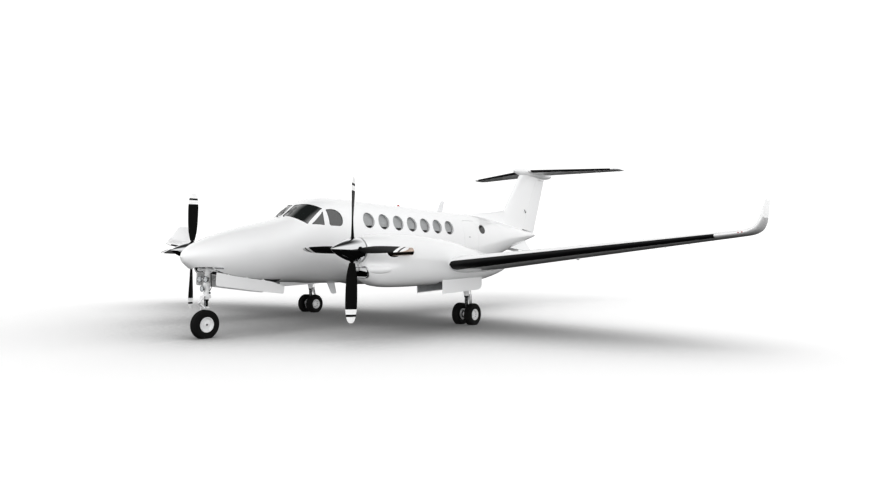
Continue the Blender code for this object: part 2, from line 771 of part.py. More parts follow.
def make_airstair(aft):
    """The door with its steps inside, hinged along its lower edge."""
    edge = max(hull_half_width(DOOR_START, DOOR_SILL), hull_half_width(DOOR_END, DOOR_SILL))
    axis_x = edge + 0.004
    low = (DOOR_START, DOOR_SILL)
    high = (DOOR_END, DOOR_TOP)
    gap = RUN_GAP
    cut(aft, prism("door_hole", rounded((low[0] - gap, low[1] - 0.020), (high[0] + gap, high[1] + gap),
                                        0.10), "X", 0.30, 1.0))
    door = hull_layer("airstair_door", AFT_JOINT, 9.30, 0.0, WALL,
                      "gloss_white")
    keep_inside(door, prism("door_outline", rounded(low, high, 0.10), "X", 0.30, 1.0))
    middle = (DOOR_START + DOOR_END) / 2
    hang(door, at(axis_x, middle, DOOR_SILL))
    # The top edge stays on one arc about the hinge, so that it swings out freely
    swing = math.hypot(DOOR_TOP - DOOR_SILL, axis_x - hull_half_width(DOOR_START, DOOR_TOP))
    keep_inside(door, rod("door_swing", at(axis_x, DOOR_START - 0.1, DOOR_SILL),
                          at(axis_x, DOOR_END + 0.1, DOOR_SILL), swing, sides=72))
    knuckle = rod("door_knuckle", at(axis_x, DOOR_START + 0.10, DOOR_SILL),
                  at(axis_x, DOOR_END - 0.10, DOOR_SILL), DOOR_KNUCKLE, sides=12)
    pin = rod("door_pin", at(axis_x, DOOR_START - 0.030, DOOR_SILL),
              at(axis_x, DOOR_END + 0.030, DOOR_SILL), PIN_RADIUS * 0.7, sides=PIN_SIDES)
    leaf = prism("door_leaf", ((edge - 0.100, DOOR_SILL + 0.004), (axis_x, DOOR_SILL - 0.004),
                               (axis_x, DOOR_SILL + 0.008), (edge - 0.030, DOOR_SILL + 0.075),
                               (edge - 0.100, DOOR_SILL + 0.075)),
                 "Y", DOOR_START + 0.10, DOOR_END - 0.10)
    fuse(door, leaf, knuckle, pin)
    # The steps lie level when the door is open, so they slant while it is shut
    lean = math.radians(DOOR_OPEN) - math.pi / 2
    for k in range(4):
        z = DOOR_SILL + 0.20 + 0.26 * k
        reach = hull_half_width(middle, z) - 0.030
        inner = (reach - STEP_DEPTH * math.cos(lean), z + STEP_DEPTH * math.sin(lean))
        rise = STEP_THICK * math.cos(lean)
        step = prism(f"door_step_{k + 1}", ((reach, z), inner, (inner[0], inner[1] + rise),
                                            (reach, z + rise)), "Y", middle - 0.22, middle + 0.22)
        fuse(door, step)
    for start, end in ((DOOR_START - 0.036, DOOR_START - 0.008), (DOOR_END + 0.008, DOOR_END + 0.036)):
        lug = box(f"door_lug_{start:.2f}", at(axis_x - 0.12, start, DOOR_SILL - 0.022),
                  at(axis_x + 0.014, end, DOOR_SILL + 0.014))
        fuse(aft, lug)
    cut(aft, rod("door_pin_hole", at(axis_x, DOOR_START - 0.032, DOOR_SILL),
                 at(axis_x, DOOR_END + 0.032, DOOR_SILL), PIN_HOLE * 0.7, sides=PIN_SIDES))


def make_interior():
    """Floor, seats and instrument panel, which show through the glass."""
    drop = math.tan(SIT)
    span = FLOOR_END - FLOOR_START
    floor_low = FLOOR_Z - span * drop
    floor = prism("cabin_floor", ((FLOOR_START, FLOOR_Z - FLOOR_THICK),
                                  (FLOOR_END, floor_low - FLOOR_THICK),
                                  (FLOOR_END, floor_low), (FLOOR_START, FLOOR_Z)),
                  "X", -0.80, 0.80, "floor_carpet")
    keep_inside(floor, loft("cabin_room", hull_rings(2.25, 9.30, WALL + SEAT_GAP), matched=True))
    for name, rows, spread in (("crew_seats", (3.20,), SEAT_X - 0.04), ("cabin_seats", SEAT_ROWS, SEAT_X)):
        first = rows[0] - 0.24
        last = rows[-1] + 0.30
        rails = None
        for side in (PORT, STARBOARD):
            for row in rows:
                z = FLOOR_Z - (row - FLOOR_START) * drop + SEAT_GAP
                outline = ((row - 0.22, z + 0.01), (row + 0.20, z + 0.01), (row + 0.30, z + 1.02),
                           (row + 0.20, z + 1.02), (row + 0.14, z + 0.44), (row - 0.26, z + 0.44))
                seat = prism(f"{name}_{side_name(side)}_{row:.2f}", outline, "X",
                             side * spread - SEAT_WIDTH / 2, side * spread + SEAT_WIDTH / 2)
                if rails is None:
                    high = FLOOR_Z - (first - FLOOR_START) * drop + SEAT_GAP
                    low = FLOOR_Z - (last - FLOOR_START) * drop + SEAT_GAP
                    rails = prism(name, ((first, high), (last, low), (last, low + 0.03),
                                         (first, high + 0.03)), "X", -SEAT_X - 0.10, SEAT_X + 0.10,
                                  "grey_leather")
                fuse(rails, seat)
    prism("instrument_panel", ((2.64, FLOOR_Z + SEAT_GAP), (2.78, FLOOR_Z + SEAT_GAP), (2.78, 1.90),
                               (2.86, 2.13), (2.62, 2.13), (2.55, 2.00), (2.62, 1.60)),
          "X", -0.46, 0.46, "panel_black")


def make_wing_centre(hull_cutter):
    """The centre section under the cabin, from nacelle to nacelle, and its flaps."""
    up = Vector((0, 0, 1))
    rings = []
    for x in (-WING_CENTRE[1][0], 0.0, WING_CENTRE[1][0]):
        lead, trail, thickness = wing_edges(WING_CENTRE, abs(x), 1 if x >= 0 else -1)
        rings.append(foil_ring(lead, trail, up, thickness, WING_CAMBER))
    centre = loft("wing_centre", rings, "gloss_white")
    cut(centre, hull_cutter)
    for side in (PORT, STARBOARD):
        cut(centre, nacelle_cutters[side])
        wing_surface("inner_flap_" + side_name(side), WING_CENTRE, INNER_FLAP, side, centre,
                     "gloss_white")


def make_wing_outer(side):
    """An outer panel with its winglet, flap and aileron."""
    name = side_name(side)
    rings = []
    for x in (WING_OUTER[0][0], WING_OUTER[1][0]):
        lead, trail, thickness = wing_edges(WING_OUTER, x, side)
        rings.append(foil_ring(lead, trail, Vector((0, 0, 1)), thickness, WING_CAMBER))
    for x, lead_y, lead_z, trail_y, trail_z, thickness, lean in WINGLET:
        tilt = math.radians(lean)
        up = Vector((-side * math.sin(tilt), 0, math.cos(tilt)))
        rings.append(foil_ring(at(side * x, lead_y, lead_z), at(side * x, trail_y, trail_z),
                               up, thickness, WING_CAMBER))
    wing = loft("outer_wing_" + name, rings, "gloss_white")
    cut(wing, nacelle_cutters[side])
    wing_surface("outer_flap_" + name, WING_OUTER, OUTER_FLAP, side, wing, "gloss_white")
    wing_surface("aileron_" + name, WING_OUTER, AILERON, side, wing, "gloss_white")


def thrust_place(side, behind=0.0):
    """A frame on the thrust line: its Z axis points aft, its origin is on the line."""
    aft = Vector((0, math.cos(SIT), -math.sin(SIT)))
    across = Vector((1, 0, 0))
    up = aft.cross(across)
    turn = Matrix((across, up, aft)).transposed().to_4x4()
    hub = at(side * PROP_HUB[0], PROP_HUB[1], PROP_HUB[2])
    return Matrix.Translation(hub + aft * behind) @ turn


def make_nacelle(side):
    """Nacelle with engine bay, wheel well, air intake and gear doors."""
    name = side_name(side)
    rings = body_rings(NACELLE, NACELLE[0][0], NACELLE[-1][0], side * NACELLE_X, NACELLE_SIDES)
    for point in sum(rings, []):
        station = point.y - NOSE_Y
        left = max(0.0, (PINCH_END - station) / (PINCH_END - NACELLE[0][0]))
        pinch = PINCH_DEPTH * left ** 1.4 * math.exp(-((point.z - PINCH_Z) / PINCH_REACH) ** 2)
        point.x -= (point.x - side * NACELLE_X) * pinch
    nacelle = loft("nacelle_" + name, rings, "gloss_white", matched=True)
    bay = turned("engine_bay_" + name, ((ENGINE_RADIUS + SEAT_GAP, ENGINE_FRONT - SEAT_GAP),
                                        (ENGINE_RADIUS + SEAT_GAP, ENGINE_BACK + SEAT_GAP)),
                 thrust_place(side), sides=16)
    mouth = turned("cowl_mouth_" + name, ((0.10, 0.05), (0.10, ENGINE_FRONT + 0.02)),
                   thrust_place(side), sides=16)
    low, high = MAIN_WELL
    well = box("main_well_" + name, at(side * NACELLE_X + low[0], low[1], low[2]),
               at(side * NACELLE_X + high[0], high[1], high[2]))
    intake = loft("intake_hole_" + name,
                  [[at(side * NACELLE_X + x, station, z) for x, z in
                    rounded((-half, low_z), (half, high_z), 0.058)]
                   for station, half, low_z, high_z in INTAKE])
    cut(nacelle, bay, mouth, well, intake)
    for x in MAIN_DOOR_X:
        centre = side * (NACELLE_X + x)
        fuse(nacelle, prism(f"main_door_{name}_{x}", MAIN_DOOR, "X",
                            centre - MAIN_DOOR_HALF, centre + MAIN_DOOR_HALF))
    return nacelle


def make_engine(side, nacelle):
    """The engine as a plain block with its two exhaust stacks."""
    name = side_name(side)
    engine = turned("engine_" + name, ((ENGINE_RADIUS, ENGINE_FRONT), (ENGINE_RADIUS, ENGINE_BACK)),
                    thrust_place(side), "heat_steel", sides=16)
    for hand in (1, -1):
        route = [at(side * NACELLE_X + hand * x, station, z) for x, station, z in STACK_ROUTE]
        last = route[-1] + (route[-1] - route[-2]) * 0.2
        cut(nacelle, pipe(f"stack_hole_{name}_{hand}", route + [last], STACK_RADIUS + 0.0008))
        fuse(engine, pipe(f"stack_{name}_{hand}", route, STACK_RADIUS))
        cut(engine, pipe(f"stack_bore_{name}_{hand}", [route[-2].lerp(route[-1], 0.15), last],
                         STACK_RADIUS - STACK_WALL))
    cut(engine, rod("shaft_hole_" + name, thrust_place(side) @ Vector((0, 0, ENGINE_FRONT - 0.05)),
                    thrust_place(side) @ Vector((0, 0, ENGINE_FRONT + 0.122)), SHAFT_HOLE, sides=12))
    return engine


def blade_rings(place, side, turn):
    """Rings of one feathered blade, turned about the thrust line."""
    rings = []
    around = place @ Matrix.Rotation(turn, 4, "Z")
    for radius, chord, thickness, angle in BLADE:
        a = math.radians(angle)
        # The place's Y axis points down. The top blade's trailing edge points aft and inboard
        along = Vector((side * math.sin(a), 0, math.cos(a)))
        normal = Vector((math.cos(a), 0, -side * math.sin(a)))
        centre = Vector((0, radius, 0))
        ring = foil_ring(centre - along * chord * 0.5, centre + along * chord * 0.5, normal,
                         thickness, 0.0, steps=4)
        rings.append([around @ p for p in ring])
    return rings


def make_propeller(side):
    """Hub with four blades and its shaft, and the spinner round it."""
    name = side_name(side)
    place = thrust_place(side)
    hub = turned("propeller_" + name, ((HUB_RADIUS, -HUB_FRONT), (HUB_RADIUS, HUB_BACK)),
                 place, "black_blade", sides=12)
    hang(hub, place.to_translation())
    shaft = rod("shaft_" + name, place @ Vector((0, 0, HUB_BACK - 0.02)),
                place @ Vector((0, 0, ENGINE_FRONT + 0.12)), SHAFT_RADIUS, sides=12)
    fuse(hub, shaft)
    profile = [(0.006, -SPINNER_TIP)]
    for share in (0.06, 0.20, 0.42, 0.70):
        radius = SPINNER_RADIUS * math.sin(share * math.pi / 2) ** 0.86
        profile.append((radius, -SPINNER_TIP + (SPINNER_TIP + SPINNER_BASE) * share))
    profile.append((SPINNER_RADIUS, SPINNER_BASE))
    spinner = turned("spinner_" + name, profile, place, "polished_metal", sides=16)
    hang(spinner, place.to_translation())
    cut(spinner, turned("spinner_bay_" + name, ((HUB_RADIUS + SEAT_GAP, -HUB_FRONT - SEAT_GAP),
                                                (HUB_RADIUS + SEAT_GAP, SPINNER_BASE + 0.05)),
                        place, sides=12))
    for k in range(4):
        turn = k * math.pi / 2
        spin = place @ Matrix.Rotation(turn, 4, "Z")
        shank = rod(f"shank_{name}_{k}", spin @ Vector((0, HUB_RADIUS - 0.03, 0)),
                    spin @ Vector((0, BLADE[0][0] + 0.02, 0)), SHANK_RADIUS, sides=8)
        fuse(hub, shank)
        fuse(hub, loft(f"blade_{name}_{k}", blade_rings(place, side, turn)))
        cut(spinner, rod(f"shank_hole_{name}_{k}", spin @ Vector((0, HUB_RADIUS - 0.03, 0)),
                         spin @ Vector((0, SPINNER_RADIUS + 0.05, 0)),
                         SHANK_RADIUS + 0.0012, sides=8))


def fin_row(z):
    """Leading edge, hinge and trailing edge stations of the fin at a height."""
    return mix_rows(FIN_LOW, FIN_TOP, z)


def make_fin(tail, hull_cutter, bullet_cutter):
    """Fin with its dorsal fillet, and the rudder on its swept hinge."""
    across = Vector((1, 0, 0))
    rings = []
    for z in (FIN_LOW[0], FIN_TOP[0]):
        row = fin_row(z)
        rings.append(foil_ring(at(0, row[1], z), at(0, row[3], z), across, FIN_THICKNESS))
    fin = loft("fin", rings, "gloss_white")
    ridge = []
    for station, top, half in DORSAL:
        low = 2.30 if station > 10.2 else 2.45
        ridge.append([at(half, station, low), at(half * 1.1, station, low + (top - low) * 0.55),
                      at(half * 0.45, station, top - half * 0.5), at(0, station, top),
                      at(-half * 0.45, station, top - half * 0.5),
                      at(-half * 1.1, station, low + (top - low) * 0.55), at(-half, station, low)])
    fuse(fin, loft("dorsal_fin", ridge))
    row = fin_row(RUDDER_TOP)
    sections = ((at(0, RUDDER_FOOT[0], RUDDER_FOOT[1]), at(0, RUDDER_FOOT[3], RUDDER_FOOT[4]),
                 (RUDDER_FOOT[2] - RUDDER_FOOT[0]) / (RUDDER_FOOT[3] - RUDDER_FOOT[0])),
                (at(0, row[1], RUDDER_TOP), at(0, row[3], RUDDER_TOP),
                 (row[2] - row[1]) / (row[3] - row[1])))
    rudder = loft("rudder", [surface_ring(lead, trail, across, FIN_THICKNESS, 0.0, share)
                             for lead, trail, share in sections], "gloss_white")
    (low, low_radius), (high, high_radius) = [
        hinge_point(lead, trail, across, FIN_THICKNESS, 0.0, share)
        for lead, trail, share in sections]
    hang(rudder, low)
    along = (high - low).normalized()
    ends = (low - along * RUDDER_PIN_REACH, high + along * RUDDER_PIN_REACH)
    fuse(rudder, rod("rudder_pin", *ends, PIN_RADIUS, sides=PIN_SIDES))
    hole = rod("rudder_hole", ends[0] - along * 0.002, ends[1] + along * 0.002, PIN_HOLE,
               sides=PIN_SIDES)
    bay = []
    taper = (low_radius - high_radius) / (high.z - low.z)
    for z, gap in ((2.0, END_GAP), (RUDDER_TOP + 0.03, RUN_GAP * 1.4)):
        centre = low + along * ((z - low.z) / along.z)
        front = centre.y - low_radius - (low.z - z) * taper - gap
        bay.append([Vector((x, y, z)) for x, y in
                    ((-0.3, front), (0.3, front), (0.3, centre.y + 2.0), (-0.3, centre.y + 2.0))])
    cut(fin, loft("rudder_bay", bay), hull_cutter, bullet_cutter, hole)
    cut(tail, hole)


def tail_edges(x):
    """Edges of the tailplane at x."""
    return mix_rows(TAIL_ROOT, TAIL_TIP, x)


def bullet_rings(grow=0.0):
    """Rings of the bullet fairing where fin and tailplane meet."""
    rings = []
    for station, radius in BULLET:
        r = radius + grow
        ring = []
        for k in range(BULLET_SIDES):
            angle = 2 * math.pi * k / BULLET_SIDES
            rise = r * math.sin(angle)
            ring.append(at(r * math.cos(angle), station,
                           BULLET_Z + (rise if rise > 0 else rise * BULLET_SAG)))
        rings.append(ring)
    return rings


def make_tailplane():
    """Tailplane through the bullet fairing, and two elevators."""
    up = Vector((0, 0, 1))
    rings = []
    for x in (-TAIL_END[0], -TAIL_TIP[0], 0.0, TAIL_TIP[0], TAIL_END[0]):
        row = TAIL_END if abs(x) == TAIL_END[0] else tail_edges(abs(x))
        rings.append(foil_ring(at(x, row[1], row[2]), at(x, row[3], row[4]), up, TAIL_THICKNESS))
    tailplane = loft("tailplane", rings, "gloss_white")
    axes = {}
    for side in (PORT, STARBOARD):
        name = side_name(side)
        start, end, hinge = ELEVATOR
        rings = []
        pins = []
        for x in (start, end):
            row = tail_edges(x)
            lead = at(side * x, row[1], row[2])
            trail = at(side * x, row[3], row[4])
            rings.append(surface_ring(lead, trail, up, TAIL_THICKNESS, 0.0, hinge))
            pins.append(hinge_point(lead, trail, up, TAIL_THICKNESS, 0.0, hinge))
        elevator = loft("elevator_" + name, rings, "gloss_white")
        hang(elevator, (pins[0][0] + pins[1][0]) / 2)
        along = (pins[1][0] - pins[0][0]).normalized()
        ends = (pins[0][0] - along * 0.035, pins[1][0] + along * PIN_REACH)
        fuse(elevator, rod("elevator_pin_" + name, *ends, PIN_RADIUS * 0.7, sides=PIN_SIDES))
        outline = []
        for x, pin in ((start - 0.012, pins[0]), (end + 0.012, pins[1])):
            centre = pin[0].y + (side * x - pin[0].x) * along.y / along.x
            outline.append((side * x, centre - pin[1] - RUN_GAP))
        outline += [(side * (end + 0.012), NOSE_Y + 14.6), (side * (start - 0.012), NOSE_Y + 14.6)]
        cut(tailplane, loft("elevator_bay_" + name,
                            [[Vector((x, y, z)) for x, y in outline] for z in (4.0, 4.5)]))
        axes[side] = (ends, along)
    fuse(tailplane, loft("bullet", bullet_rings()))
    for side, (ends, along) in axes.items():
        cut(tailplane, rod("elevator_hole_" + side_name(side), ends[0] - along * 0.002,
                           ends[1] + along * 0.002, PIN_HOLE * 0.7, sides=PIN_SIDES))
    return loft("bullet_cutter", bullet_rings(SEAT_GAP))


def tyre(name, centre, radius, width, rim):
    """A tyre on its side axis along X, flat where it stands on the ground."""
    turn = Matrix.Translation(centre) @ Matrix.Rotation(math.pi / 2, 4, "Y")
    half = width / 2
    profile = ((rim, -half * 0.78), (rim + 0.035, -half), (radius - 0.050, -half),
               (radius, -half * 0.50), (radius, half * 0.50),
               (radius - 0.050, half), (rim + 0.035, half), (rim, half * 0.78), (rim, -half * 0.78))
    made = turned(name, profile, turn, "tyre_rubber", sides=WHEEL_SIDES)
    hang(made, centre)
    cut(made, box(name + "_ground", centre + Vector((-0.3, -0.5, -0.6 - centre.z)),
                  centre + Vector((0.3, 0.5, -centre.z))))


def wheel_profile(rim, half, bore):
    """A wheel from outer flange to outer flange, dished on both sides."""
    return ((bore, -half * 0.60), (rim * 0.80, -half * 0.42),
            (rim * 0.93, -half), (rim, -half), (rim, half), (rim * 0.93, half),
            (rim * 0.80, half * 0.42), (bore, half * 0.60))


def make_nose_gear(hull_cutter):
    """Nose leg, steering fork with torque links, wheel, tyre and doors."""
    wheel = at(0, *NOSE_WHEEL)
    top = at(0, *NOSE_STRUT_TOP)
    along = (top - wheel).normalized()

    def on_strut(z):
        return wheel + along * ((z - wheel.z) / along.z)

    leg = rod("nose_leg", on_strut(NOSE_COLLAR_Z), on_strut(NOSE_STRUT_TOP[1] + 0.03),
              NOSE_LEG_RADIUS, "gear_white", sides=PIVOT_SIDES)
    fuse(leg, rod("nose_leg_cap", on_strut(1.00), on_strut(1.06), 0.075, sides=12))
    fuse(leg, rod("nose_drag_brace", on_strut(1.04), at(0, 1.20, NOSE_WELL[1][2] - 0.012), 0.022))
    fuse(leg, box("nose_trunnion", at(-0.30 + SEAT_GAP, 0.515, 1.275), at(0.30 - SEAT_GAP, 0.585, 1.335)))
    for name, x, z, radius in (("landing_lamp_left", LAMP_X, 1.125, 0.064),
                               ("landing_lamp_right", -LAMP_X, 1.125, 0.064),
                               ("taxi_lamp", 0.0, 0.947, 0.058)):
        front = on_strut(z).y - LAMP_REACH
        fuse(leg, rod(name, Vector((x, front, z)), Vector((x, front + 0.05, z)), radius, sides=12))
        fuse(leg, rod(name + "_bracket", Vector((x * 0.6, front + 0.04, z)), on_strut(z), 0.022, sides=8))
    bore = rod("nose_leg_bore", on_strut(NOSE_COLLAR_Z - 0.02), on_strut(0.952),
               NOSE_PISTON_RADIUS + PIVOT_GAP, sides=PIVOT_SIDES)
    roof = NOSE_WELL[1][2] - SEAT_GAP
    cut(leg, bore, box("nose_leg_trim", at(-0.2, 0.3, roof), at(0.2, 1.6, roof + 0.3)))

    fork = rod("nose_fork", on_strut(0.575), on_strut(0.95), NOSE_PISTON_RADIUS, "chrome",
               sides=PIVOT_SIDES)
    hang(fork, wheel)
    # The fork holds the wheel from its starboard side alone
    crown = box("fork_crown", Vector((-0.118, wheel.y - 0.035, 0.556)),
                Vector((0.050, wheel.y + 0.075, 0.604)))
    blade = prism("fork_blade", ((NOSE_WHEEL[0] - 0.034, 0.225), (NOSE_WHEEL[0] + 0.034, 0.225),
                                 (NOSE_WHEEL[0] + 0.070, 0.58), (NOSE_WHEEL[0] - 0.030, 0.58)),
                  "X", -0.118, -0.094)
    fuse(fork, crown, blade)
    inside = NOSE_LEG_RADIUS + PIVOT_GAP
    collar = turned("steering_collar", ((inside, -0.030), (0.078, -0.030), (0.078, 0.030),
                                        (inside, 0.030), (inside, -0.030)),
                    Matrix.Translation(on_strut(0.800))
                    @ Vector((0, 0, 1)).rotation_difference(along).to_matrix().to_4x4(),
                    sides=PIVOT_SIDES)
    knee = at(0, 0.356, 0.677)
    upper = rod("torque_link_upper", on_strut(0.795) + Vector((0, -0.080, 0)), knee, 0.018, sides=8)
    lower = rod("torque_link_lower", knee, wheel + Vector((0, -0.020, 0.585 - wheel.z)), 0.020, sides=8)
    fuse(fork, collar, upper, lower,
         rod("torque_link_pin", knee + Vector((-0.04, 0, 0)), knee + Vector((0.04, 0, 0)), 0.022, sides=10))
    fuse(fork, rod("nose_axle", wheel + Vector((-0.118, 0, 0)), wheel + Vector((0.072, 0, 0)), 0.020,
                   sides=16))

    side_on = Matrix.Translation(wheel) @ Matrix.Rotation(math.pi / 2, 4, "Y")
    profile = wheel_profile(0.145, 0.075, 0.0206)
    rim = turned("nose_wheel", profile + profile[:1], side_on, "gear_white", sides=WHEEL_SIDES)
    hang(rim, wheel)
    tyre("nose_tyre", wheel, NOSE_TYRE_RADIUS, NOSE_TYRE_WIDTH, 0.145 + SEAT_GAP * 2)

    for side in (PORT, STARBOARD):
        x = side * 0.325
        low_x, high_x = sorted((x, x + side * 0.014))
        door = prism("nose_door_" + side_name(side),
                     ((0.50, 1.006), (1.78, 0.812), (2.09, 0.775), (2.12, 0.955), (1.80, 1.075),
                      (1.40, 1.135), (0.95, 1.205), (0.52, 1.300)),
                     "X", low_x, high_x, "gloss_white")
        cut(door, hull_cutter)


def make_main_gear(side):
    """Main leg with twin wheels on a turning axle."""
    name = side_name(side)
    x = side * NACELLE_X
    wheel = at(x, *MAIN_WHEEL)
    leg_y = NOSE_Y + MAIN_WHEEL[0]
    roof = MAIN_WELL[1][2]
    leg = rod("main_leg_" + name, Vector((x, leg_y, 0.640)), Vector((x, leg_y, roof - SEAT_GAP)),
              0.058, "gear_white", sides=12)
    fuse(leg, rod("main_leg_skirt_" + name, Vector((x, leg_y, 0.70)), Vector((x, leg_y, 0.95)), 0.058,
                  sides=12, end_radius=0.105))
    fuse(leg, rod("main_piston_" + name, Vector((x, leg_y, 0.23)), Vector((x, leg_y, 0.66)), 0.038, sides=10))
    fuse(leg, rod("main_boss_" + name, wheel + Vector((-0.062, 0, 0)), wheel + Vector((0.062, 0, 0)),
                  0.056, sides=12))
    fuse(leg, rod("main_brace_" + name, Vector((x, leg_y, 0.86)), at(x, 4.55, roof - 0.03), 0.024))
    fuse(leg, box("main_trunnion_" + name, Vector((x - 0.30 + SEAT_GAP, leg_y - 0.04, 1.18)),
                  Vector((x + 0.30 - SEAT_GAP, leg_y + 0.04, 1.26))))
    knee = Vector((x, leg_y + 0.16, 0.47))
    fuse(leg, rod("main_link_upper_" + name, Vector((x, leg_y + 0.045, 0.665)), knee, 0.018, sides=8))
    fuse(leg, rod("main_link_lower_" + name, knee, Vector((x, leg_y + 0.03, 0.30)), 0.018, sides=8))
    cut(leg, rod("main_bore_" + name, wheel + Vector((-0.07, 0, 0)), wheel + Vector((0.07, 0, 0)),
                 0.0256, sides=16))
    axle = rod("main_wheels_" + name, wheel + Vector((-0.215, 0, 0)), wheel + Vector((0.215, 0, 0)),
               0.025, "gear_white", sides=12)
    hang(axle, wheel)
    for hand in (1, -1):
        centre = wheel + Vector((hand * TWIN_OFFSET, 0, 0))
        side_on = Matrix.Translation(centre) @ Matrix.Rotation(math.pi / 2, 4, "Y")
        rim = 0.122
        profile = wheel_profile(rim, 0.072, 0.010)
        fuse(axle, turned(f"main_hub_{name}_{hand}", profile, side_on, sides=WHEEL_SIDES))
        outboard = (hand == side)
        tyre(f"main_tyre_{name}_{'outboard' if outboard else 'inboard'}", centre,
             MAIN_TYRE_RADIUS, MAIN_TYRE_WIDTH, rim + SEAT_GAP * 2)


def blade_antenna(name, base, tip, base_chord, tip_chord, half):
    """A blade antenna standing on the skin."""
    rings = []
    for (station, z), chord, thick in ((base, base_chord, half), (tip, tip_chord, half * 0.5)):
        rings.append([at(thick * math.sin(2 * math.pi * k / 12), station + chord / 2
                         - chord / 2 * math.cos(2 * math.pi * k / 12), z) for k in range(12)])
    return loft(name, rings, "gloss_white")


clear_scene()
parts = new_collection("turboprop_aeroplane")
cutters = new_collection("cutters")

hull_tool = loft("hull_tool", hull_rings(0.0, 13.02, -SEAT_GAP), matched=True)
nacelle_cutters = {
    side: loft("nacelle_tool_" + side_name(side),
               body_rings(NACELLE, NACELLE[0][0], NACELLE[-1][0], side * NACELLE_X,
                          NACELLE_SIDES, -SEAT_GAP), matched=True)
    for side in (PORT, STARBOARD)}

cockpit_shell, cabin_shell, aft_shell, tail_shell = make_fuselage()
make_cabin_windows(cabin_shell, aft_shell)
make_cockpit_glass(cockpit_shell)
make_airstair(aft_shell)
make_interior()
make_wing_centre(hull_tool)
for hand_side in (PORT, STARBOARD):
    make_wing_outer(hand_side)
    nacelle_body = make_nacelle(hand_side)
    make_engine(hand_side, nacelle_body)
    make_propeller(hand_side)
    make_main_gear(hand_side)
bullet_tool = make_tailplane()
make_fin(tail_shell, hull_tool, bullet_tool)
make_nose_gear(hull_tool)
top_antenna = blade_antenna("top_antenna", (7.645, 2.70), (7.84, 3.04), 0.26, 0.16, 0.014)
cut(top_antenna, hull_tool)
belly_antenna = blade_antenna("belly_antenna", (3.57, 0.98), (3.73, 0.675), 0.25, 0.16, 0.012)
cut(belly_antenna, hull_tool)
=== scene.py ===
"""The looks of a twin turboprop business aeroplane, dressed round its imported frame.

Metres, +Z up, nose towards -Y, port side towards +X. A station is a distance
aft of the nose tip.
"""

import math

import bmesh
import bpy
from mathutils import Matrix, Vector
from mathutils.bvhtree import BVHTree
from mathutils.interpolate import poly_3d_calc


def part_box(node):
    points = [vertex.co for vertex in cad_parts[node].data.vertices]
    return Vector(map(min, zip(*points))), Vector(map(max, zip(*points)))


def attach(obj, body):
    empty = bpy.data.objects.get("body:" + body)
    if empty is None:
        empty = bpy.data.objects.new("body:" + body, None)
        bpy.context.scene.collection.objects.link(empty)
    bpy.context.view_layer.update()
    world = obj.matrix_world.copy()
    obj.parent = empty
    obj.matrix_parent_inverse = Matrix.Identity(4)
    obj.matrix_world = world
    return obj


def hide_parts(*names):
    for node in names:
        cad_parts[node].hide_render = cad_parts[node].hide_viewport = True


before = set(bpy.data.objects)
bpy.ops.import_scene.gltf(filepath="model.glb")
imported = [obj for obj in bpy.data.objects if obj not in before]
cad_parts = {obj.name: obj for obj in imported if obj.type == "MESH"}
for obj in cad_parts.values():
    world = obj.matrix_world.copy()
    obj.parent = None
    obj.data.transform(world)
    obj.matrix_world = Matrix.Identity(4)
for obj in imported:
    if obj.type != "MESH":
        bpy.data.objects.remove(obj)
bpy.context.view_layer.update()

# The studio: a seamless white floor under a white dome, brightest at the horizon,
# with one broad soft light overhead. The camera stands off the port bow at chest height.
scene = bpy.context.scene
scene.view_settings.view_transform = "Standard"

CAMERA_PLACE = Vector((11.248, -13.807, 1.636))
CAMERA_YAW = math.radians(38.16)
CAMERA_PITCH = math.radians(0.90)
CAMERA_ROLL = math.radians(-0.25)
CAMERA_LENS = 27.27
FLOOR_REACH = 400.0
DOME_LIGHT = 0.25
HORIZON_LIGHT = 2.3
OVERHEAD_LIGHT = 1.3
OVERHEAD_SPREAD = math.radians(100)
OVERHEAD_TILT = math.radians(40)
OVERHEAD_TURN = math.radians(-10)  # from the camera's line of sight
SHADOW_REACH = 11.0
SHADOW_POWER = 2.4  # deepens the shadow towards its middle
DOME_SHOWN = 1.2  # how bright the camera itself sees the dome
SHADOW_LEAN = (0.24, 0.30, 0.92)  # the shadow is darkest before the object and to its left


def tone(code):
    """An sRGB hex colour as the linear numbers that a shader wants."""
    shares = [int(code[k:k + 2], 16) / 255 for k in (0, 2, 4)]
    return [s / 12.92 if s <= 0.04045 else ((s + 0.055) / 1.055) ** 2.4 for s in shares] + [1.0]


def material(name, colour, **sockets):
    """A material whose even values are set straight on its shader."""
    made = bpy.data.materials.new(name)
    made.use_nodes = True
    shader = made.node_tree.nodes["Principled BSDF"]
    shader.inputs["Base Color"].default_value = tone(colour)
    for key, value in sockets.items():
        shader.inputs[key.replace("_", " ")].default_value = value
    return made


def add_node(owner, kind, sockets=None, out=0, to=None, **settings):
    """Add a node. Its sockets take values or outputs, and to names the shader socket it feeds."""
    tree = owner.node_tree
    made = tree.nodes.new("ShaderNode" + kind)
    for key, value in settings.items():
        setattr(made, key, value)
    for key, value in (sockets or {}).items():
        if isinstance(value, bpy.types.NodeSocket):
            tree.links.new(value, made.inputs[key])
        else:
            made.inputs[key].default_value = value
    if to:
        tree.links.new(made.outputs[out], tree.nodes["Principled BSDF"].inputs[to])
    return made.outputs[out]


